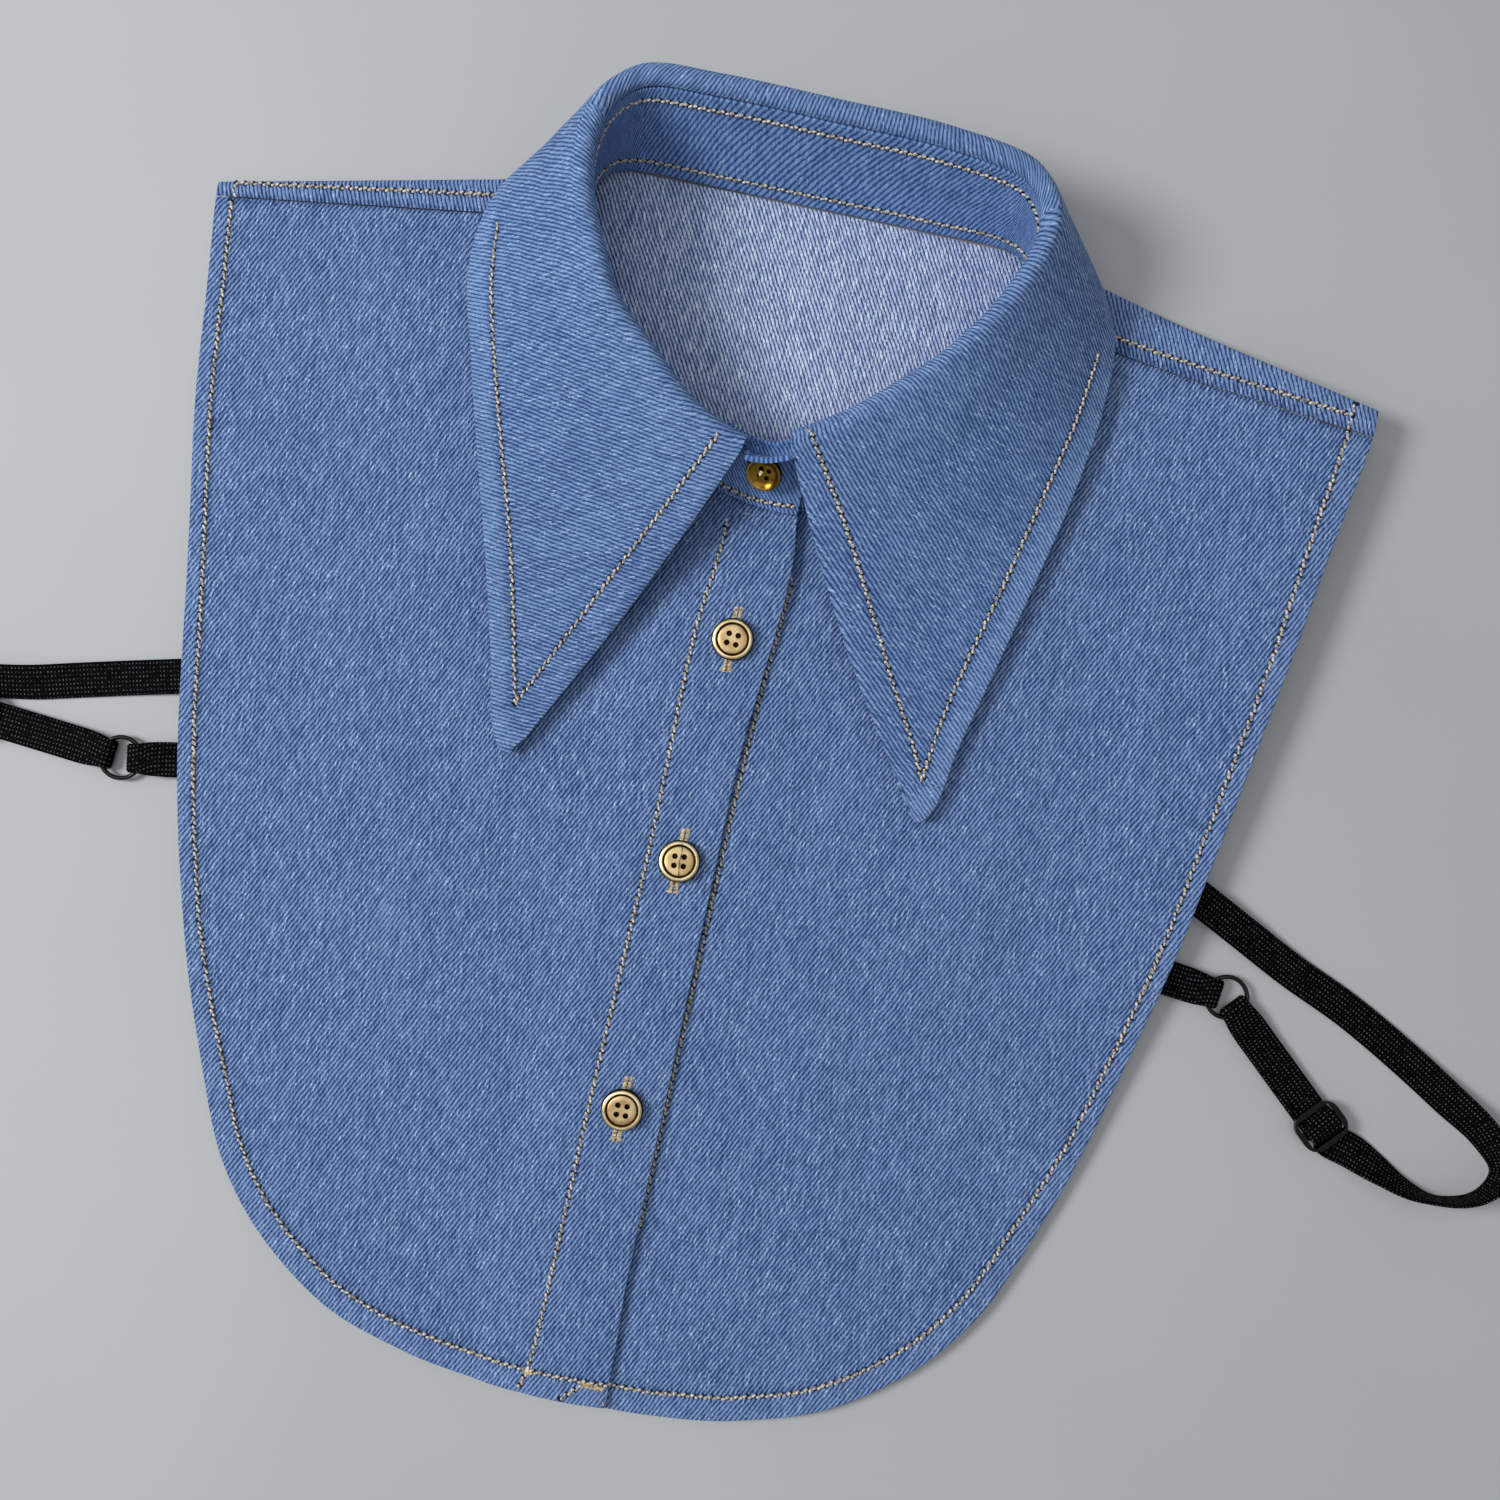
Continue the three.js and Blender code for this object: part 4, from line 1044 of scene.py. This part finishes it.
stitched("leaf_stitches", [lay_on([fall_skin], fine_line(line)) for line in leaf_lines])


def stand_row(share, first, last, side):
    """A row of stitches along the stand, on its inner side (-1) or its outer side (1)."""
    laid = []
    count = round((last - first) * 44)
    for k in range(count + 1):
        row = mix(first, last, k / count)
        square = stand_square(row)[0] * side
        laid.append((stand_surface(row, share) + square * (DOUBLED / 2), square))
    return laid


stitched("stand_stitches", [
    stand_row(STAND_STITCHES["foot"], 5.5, 14.6, -1), stand_row(STAND_STITCHES["top"], 4.5, 15.5, -1),
    stand_row(STAND_STITCHES["foot"], ROWS - 1.2, ROWS + STAND_END - 0.05, 1)])


# ---- buttons -----------------------------------------------------------------------------------------------
def turned_disc(profile, steps=72):
    """A disc turned from a profile of radius and height, with a material for each stretch of it."""
    bm = bmesh.new()
    verts = [bm.verts.new((r, 0, z)) for r, z, _ in profile]
    edges = [bm.edges.new(pair) for pair in zip(verts, verts[1:])]
    bmesh.ops.spin(bm, geom=verts + edges, cent=(0, 0, 0), axis=(0, 0, 1), angle=2 * math.pi, steps=steps,
                   use_merge=True)
    bmesh.ops.remove_doubles(bm, verts=bm.verts, dist=1e-4)
    bmesh.ops.recalc_face_normals(bm, faces=bm.faces)
    stretches = [((r0 + r1) / 2, (z0 + z1) / 2, kind)
                 for (r0, z0, kind), (r1, z1, _) in zip(profile, profile[1:])]
    for face in bm.faces:
        middle = face.calc_center_median()
        radius, z = math.hypot(middle.x, middle.y), middle.z
        face.material_index = min(stretches, key=lambda row: (row[0] - radius) ** 2 + (row[1] - z) ** 2)[2]
    return bm


def drill(bm, radius, spacing, floor, materials):
    """Four sewing holes down to a dark floor in a disc."""
    cutter = bmesh.new()
    depth = 8
    for a, b in ((1, 1), (-1, 1), (-1, -1), (1, -1)):
        bmesh.ops.create_cone(cutter, cap_ends=True, segments=20, radius1=radius, radius2=radius, depth=depth,
                              matrix=Matrix.Translation((a * spacing, b * spacing, floor + depth / 2)))
    for face in cutter.faces:
        face.material_index = 1
    meshes = [bpy.data.meshes.new(n) for n in ("disc", "holes")]
    for made, mesh in zip((bm, cutter), meshes):
        made.to_mesh(mesh)
        made.free()
        for material in materials:
            mesh.materials.append(material)
    disc, holes = (bpy.data.objects.new(m.name, m) for m in meshes)
    for part in (disc, holes):
        bpy.context.scene.collection.objects.link(part)
    cut = disc.modifiers.new("holes", "BOOLEAN")
    cut.object = holes
    cut.solver = "EXACT"
    made = bmesh.new()
    made.from_object(disc, bpy.context.evaluated_depsgraph_get())
    for part in (disc, holes):
        bpy.data.objects.remove(part)
    return made


# Radius, height and material of a placket button's turned profile: 0 rim, 1 groove, 2 disc
PLACKET_PROFILE = [
    (0, 0, 1), (5.0, 0, 1), (5.75, 0.45, 1), (6.0, 1.1, 1), (5.9, 1.95, 1), (5.65, 2.3, 0), (5.25, 2.58, 0),
    (4.85, 2.55, 0), (4.66, 2.3, 1), (4.56, 1.8, 1), (4.3, 1.75, 1), (4.15, 2.05, 2), (3.9, 2.18, 2),
    (2.6, 2.12, 2), (0, 2.08, 2),
]
NECK_PROFILE = [
    (0, 0, 1), (4.1, 0, 1), (4.85, 0.5, 1), (5.1, 1.3, 1), (5.05, 2.1, 0), (4.8, 2.5, 0), (4.4, 2.55, 0),
    (4.05, 2.2, 2), (3.4, 1.7, 2), (2.4, 1.4, 2), (0, 1.35, 2),
]


def back_of(cad_node):
    """The middle of a button's back, from its node's box."""
    low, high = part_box(cad_node)
    return Vector(((low.x + high.x) / 2, (low.y + high.y) / 2, low.z)) / MM


def shape_buttons():
    finishes = [BRIGHT_BRASS, DARK_BRASS, DISC_BRASS]
    for number, turned, tilted in ((1, -4, 2), (2, 6, -3), (3, 2, 2)):
        bm = drill(turned_disc(PLACKET_PROFILE), 0.82, 1.32, 0.7, finishes)
        bmesh.ops.rotate(bm, verts=bm.verts, matrix=Matrix.Rotation(math.radians(turned), 3, "Z"))
        tilt = Matrix.Rotation(math.radians(tilted), 3, "X")
        bmesh.ops.rotate(bm, verts=bm.verts, cent=(0, 0, 1), matrix=tilt)
        bmesh.ops.translate(bm, verts=bm.verts, vec=back_of(f"button_{number}"))
        piece = finish_piece(bm, f"brass_button_{number}", finishes)
        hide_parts(f"button_{number}")
        piece.data.set_sharp_from_angle(angle=math.radians(40))


shape_buttons()

STAND_BUTTON = dict(row=ROWS + 0.08, share=0.7, gap=0.65, upward=0.1)


def stand_button_axes():
    square, _ = stand_square(STAND_BUTTON["row"])
    back = stand_point(STAND_BUTTON["row"], STAND_BUTTON["share"])
    facing = (square + Vector((0, 0, STAND_BUTTON["upward"]))).normalized()
    return back + square * (DOUBLED / 2 + STAND_BUTTON["gap"]), facing


def shape_neck_button():
    back_place, facing = stand_button_axes()
    finishes = [SHADED_RIM_BRASS, DARK_BRASS, SHADED_BOWL_BRASS]
    bm = drill(turned_disc(NECK_PROFILE), 0.72, 1.1, 0.5, finishes)
    bmesh.ops.rotate(bm, verts=bm.verts, matrix=facing.to_track_quat("Z", "Y").to_matrix())
    bmesh.ops.translate(bm, verts=bm.verts, vec=back_place)
    piece = finish_piece(bm, "brass_neck_button", finishes)
    piece.data.set_sharp_from_angle(angle=math.radians(40))
    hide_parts("neck_button")


shape_neck_button()


# ---- buttonholes and bar tacks -----------------------------------------------------------------------------
UP = Vector((0, 0, 1))


def strand(bm, start, end, width, normal=UP, material=0):
    """One short thread between two places."""
    along = (end - start)
    length = along.length
    along.normalize()
    side = normal.cross(along).normalized()
    axes = Matrix((side, along.cross(side), along)).transposed().to_4x4()
    made = bmesh.ops.create_uvsphere(bm, u_segments=6, v_segments=5, radius=0.5,
                                     matrix=Matrix.Translation(start.lerp(end, 0.5)) @ axes
                                     @ Matrix.Diagonal((width, width * 0.8, length * 1.08, 1)))
    if material:
        for face in {f for v in made["verts"] for f in v.link_faces}:
            face.material_index = material


def shape_buttonholes():
    """Upright buttonholes: two close columns of thread, most of them under the button."""
    bm = bmesh.new()
    half = 9.3
    for number in (1, 2, 3):
        cx, cy, _ = back_of(f"button_{number}")
        for end in (-1, 1):
            for k in range(12):
                y = cy + end * (half - 0.36 * k)
                luck = wander(k * 1.9, number * 4.0 + end, 0.7)
                for side in (-1, 1):
                    outer = 1.35 + 0.45 * luck + 0.5 * soft((3 - k) / 3) * (end < 0)
                    line = [(cx + side * 0.12, y + 0.35 * luck),
                            (cx + side * outer, y - 0.3 * end + 0.2 * side)]
                    laid = lay_on([over_skin], line)
                    if len(laid) == 2:
                        strand(bm, laid[0][0] + UP * 0.4, laid[1][0] + UP * 0.1, 0.34)
    piece = finish_piece(bm, "buttonhole_thread", [GOLD_THREAD])


def shape_tacks():
    """Close back-and-forth stitches where the straps and the placket end in the hem, and a loose end."""
    bm = bmesh.new()
    beside_straps = [[p for p in hem_line(sign, 0.45, 0.85) if low < p[1] < high]
                     for sign, low, high in ((-1, -43, -29), (1, -43, -30))]
    for start, end, surface, width, material in (
            (beside_straps[0][0], beside_straps[0][-1], over_skin, 1.3, 1),
            (beside_straps[1][0], beside_straps[1][-1], under_skin, 1.3, 1),
            ((3.0, -185.0), (9.8, -185.2), over_skin, 1.5, 0),
            ((-13.4, -184.9), (-10.8, -185.2), over_skin, 1.4, 0)):
        start, end = Vector(start), Vector(end)
        along = (end - start).normalized()
        side = Vector((-along.y, along.x))
        count = round((end - start).length / 0.55)
        for k in range(count):
            middle = start.lerp(end, k / count)
            luck = wander(k * 0.9, start.x, 5.5)
            half = side * width * (0.42 + 0.12 * luck)
            laid = lay_on([surface], [tuple(middle - half), tuple(middle + half + along * 0.9)])
            if len(laid) == 2:
                up = UP * (0.32 + 0.1 * luck)
                # painted shade: every third strand of a strap's tack takes the dark indigo, for the shade
                # between strands
                dark = material and k % 3 == 2
                strand(bm, laid[0][0] + up, laid[1][0] + up, 0.4, material=2 if dark else material)
    for place, _ in lay_on([over_skin], [(10.6, -188.6)]):
        strand(bm, place + UP * 0.2, place + Vector((0.4, -0.9, 0.7)), 0.45)
    piece = finish_piece(bm, "bar_tacks", [GOLD_THREAD, TAN_THREAD, SHADE_INDIGO])


def shape_sewing_threads():
    """Thread that holds the buttons: in the neck button's holes, and a stray end over the middle button."""
    bm = bmesh.new()
    back_place, facing = stand_button_axes()
    across = facing.cross(Vector((0, 1, 0))).normalized()
    up = facing.cross(across) * -1
    for a, b, c, d in ((0.2, 0.7, 1.1, -0.9), (0.7, 0.9, 1.3, -0.6)):
        ends = [back_place + facing * 1.75 + across * p + up * q for p, q in ((a, b), (c, d))]
        strand(bm, ends[0], ends[1], 0.6, normal=facing)
    cx, cy, _ = back_of("button_2")
    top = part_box("button_2")[1].z / MM
    way = [(-0.2, 5.3, 0.05), (0.35, 2.6, 0), (0.1, 0.3, -0.2), (0.5, -2.4, 0.0), (0.9, -5.0, 0.05)]
    places = [Vector((cx + x, cy + y, top + z)) for x, y, z in way]
    for a, b in zip(places, places[1:]):
        strand(bm, a, b, 0.28, material=1)
    piece = finish_piece(bm, "button_thread", [GOLD_THREAD, SHADE_INDIGO])


shape_buttonholes()
shape_tacks()
shape_sewing_threads()


# ---- elastics, rings and sliders ---------------------------------------------------------------------------
def on_line(start, end, distance, height, width):
    run = (Vector(end) - Vector(start)).normalized()
    place = Vector(start) + run * distance
    return (place.x, place.y, height, 0, width)


def elastic_route(side):
    ring, slider = RINGS[side], SLIDERS[side]
    between = (Vector(slider) - Vector(ring)).length
    return ([(*row, ELASTIC_WIDTH) for row in LOOPS[side]]
            + [on_line(ring, slider, between + along, height, ELASTIC_WIDTH) for along, height in OVER_SLIDER]
            + [on_line(ring, slider, *row) for row in ROUND_RING]
            + [on_line(ring, slider, between + along, height, ELASTIC_WIDTH)
               for along, height in ROUND_MIDDLE_BAR])


def tab_route(side):
    ring, start = RINGS[side], TAB_STARTS[side]
    between = (Vector(start) - Vector(ring)).length
    under = [(between, 0.55), (between - 5, 0.55)]
    over = [(between - 5, 1.95), (between, 1.95)]
    return ([on_line(ring, start, d, h, ELASTIC_WIDTH) for d, h in under]
            + [on_line(ring, start, *row) for row in reversed(ROUND_RING)]
            + [on_line(ring, start, d, h, ELASTIC_WIDTH) for d, h in over])


def shape_tape(name, route, cad_node):
    """A flat ribbed tape along a route: a loop of points round the tape at each step."""
    path = Curve([row[:3] for row in route])
    form = Curve([row[3:] for row in route])
    ribs, steps_a_row = 9, 7
    steps = (len(route) - 1) * steps_a_row
    around = 4 * ribs + 2
    side, last, run = Vector((0, 0, 0)), path.at(0), 0.0
    sections = []
    for k in range(steps + 1):
        share = k / steps
        tangent = (path.at(min(share + 1e-3, 1)) - path.at(max(share - 1e-3, 0))).normalized()
        level = Vector((-tangent.y, tangent.x, 0))
        if level.length > 0.3:
            side = (level * (-1 if level.dot(side) < 0 else 1)).normalized()
        turn, width = form.at(share)
        across = Matrix.Rotation(math.radians(turn), 3, tangent) @ side
        middle = path.at(share)
        run += (middle - last).length
        last = middle
        sections.append((middle, across, tangent.cross(across), width, run))

    def place(i, j):
        middle, across, through, width, run = sections[i]
        half = 2 * ribs + 1
        on_top = j <= half
        share = (j if on_top else around - j) / half
        rib = 0.09 * math.cos(2 * math.pi * ribs * share)
        end = min(share, 1 - share)
        height = (ELASTIC / 2 - 0.1 + rib) * min(1.0, (end * 9) ** 0.5)
        point = middle + across * (width * (0.5 - share)) + through * (height if on_top else -height)
        return point, (run, (j * width / half)), 0

    bm = cloth_grid(steps, around, place)
    bmesh.ops.remove_doubles(bm, verts=bm.verts, dist=1e-3)
    bmesh.ops.holes_fill(bm, edges=[e for e in bm.edges if e.is_boundary])
    bmesh.ops.recalc_face_normals(bm, faces=bm.faces)
    piece = finish_piece(bm, name, [ELASTIC_CLOTH])
    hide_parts(cad_node)
    return piece, run


def shape_ring(side):
    """A closed hoop of round wire."""
    bm = bmesh.new()
    bmesh.ops.create_circle(bm, segments=16, radius=WIRE_RADIUS, matrix=Matrix.Rotation(math.pi / 2, 4, "X"))
    bmesh.ops.translate(bm, verts=bm.verts, vec=(RING_RADIUS, 0, 0))
    bmesh.ops.spin(bm, geom=bm.verts[:] + bm.edges[:], cent=(0, 0, 0), axis=(0, 0, 1), angle=2 * math.pi,
                   steps=64, use_merge=True)
    bmesh.ops.remove_doubles(bm, verts=bm.verts, dist=1e-4)
    bmesh.ops.recalc_face_normals(bm, faces=bm.faces)
    bmesh.ops.translate(bm, verts=bm.verts, vec=(*RINGS[side], RING_HEIGHT))
    piece = finish_piece(bm, f"coated_ring_{side}", [BLACK_COAT])
    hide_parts(f"ring_{side}")


def finish_slider(side):
    """The slider keeps its shape; its edges are rounded and coated."""
    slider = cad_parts[f"slider_{side}"]
    slider.data.materials.clear()
    slider.data.materials.append(BLACK_COAT)
    welded = slider.modifiers.new("weld", "WELD")
    welded.merge_threshold = 1e-5
    rounded = slider.modifiers.new("rounded edge", "BEVEL")
    rounded.width = 0.4 * MM
    rounded.segments = 3
    rounded.limit_method = "ANGLE"
    rounded.angle_limit = math.radians(40)


for side in ("right", "left"):
    shape_ring(side)
    strap, strap_length = shape_tape(f"elastic_strap_{side}", elastic_route(side), f"elastic_{side}")
    tab, tab_length = shape_tape(f"elastic_tab_{side}", tab_route(side), f"tab_{side}")
    finish_slider(side)


# ---- table and light ---------------------------------------------------------------------------------------
TABLE_HALF = 6000              # wide enough to reach the horizon in low views


def lay_table():
    bm = bmesh.new()
    bmesh.ops.create_grid(bm, x_segments=8, y_segments=8, size=TABLE_HALF)
    bmesh.ops.translate(bm, verts=bm.verts, vec=(0, 0, cad_box[0].z / MM))
    bmesh.ops.scale(bm, vec=(MM, MM, MM), verts=bm.verts)
    mesh = bpy.data.meshes.new("table")
    bm.to_mesh(mesh)
    bm.free()
    mesh.materials.append(TABLE)
    table = bpy.data.objects.new("table", mesh)
    bpy.context.scene.collection.objects.link(table)


def hang_lamp(name, place, size, watts, color):
    """A round soft lamp that faces the collar; its place and size are in metres."""
    lamp = bpy.data.lights.new(name, "AREA")
    lamp.shape = "DISK"
    lamp.size = size
    lamp.energy = watts
    lamp.color = linear(color)[:3]
    holder = bpy.data.objects.new(name, lamp)
    holder.location = place
    holder.rotation_euler = (-Vector(place)).to_track_quat("-Z", "Y").to_euler()
    bpy.context.scene.collection.objects.link(holder)


def light_studio():
    hang_lamp("window", (-1.02, -0.04, 0.98), 0.5, 15.5, 0xFFFEFC)
    hang_lamp("ceiling", (-0.2, 0.1, 2.0), 2.2, 11, 0xFDFEFF)
    world = bpy.data.worlds.new("studio")
    world.use_nodes = True
    background = world.node_tree.nodes["Background"]
    background.inputs["Color"].default_value = linear(0xFBFDFF)
    background.inputs["Strength"].default_value = 0.3
    bpy.context.scene.world = world
    bpy.context.scene.view_settings.view_transform = "Standard"


lay_table()
light_studio()
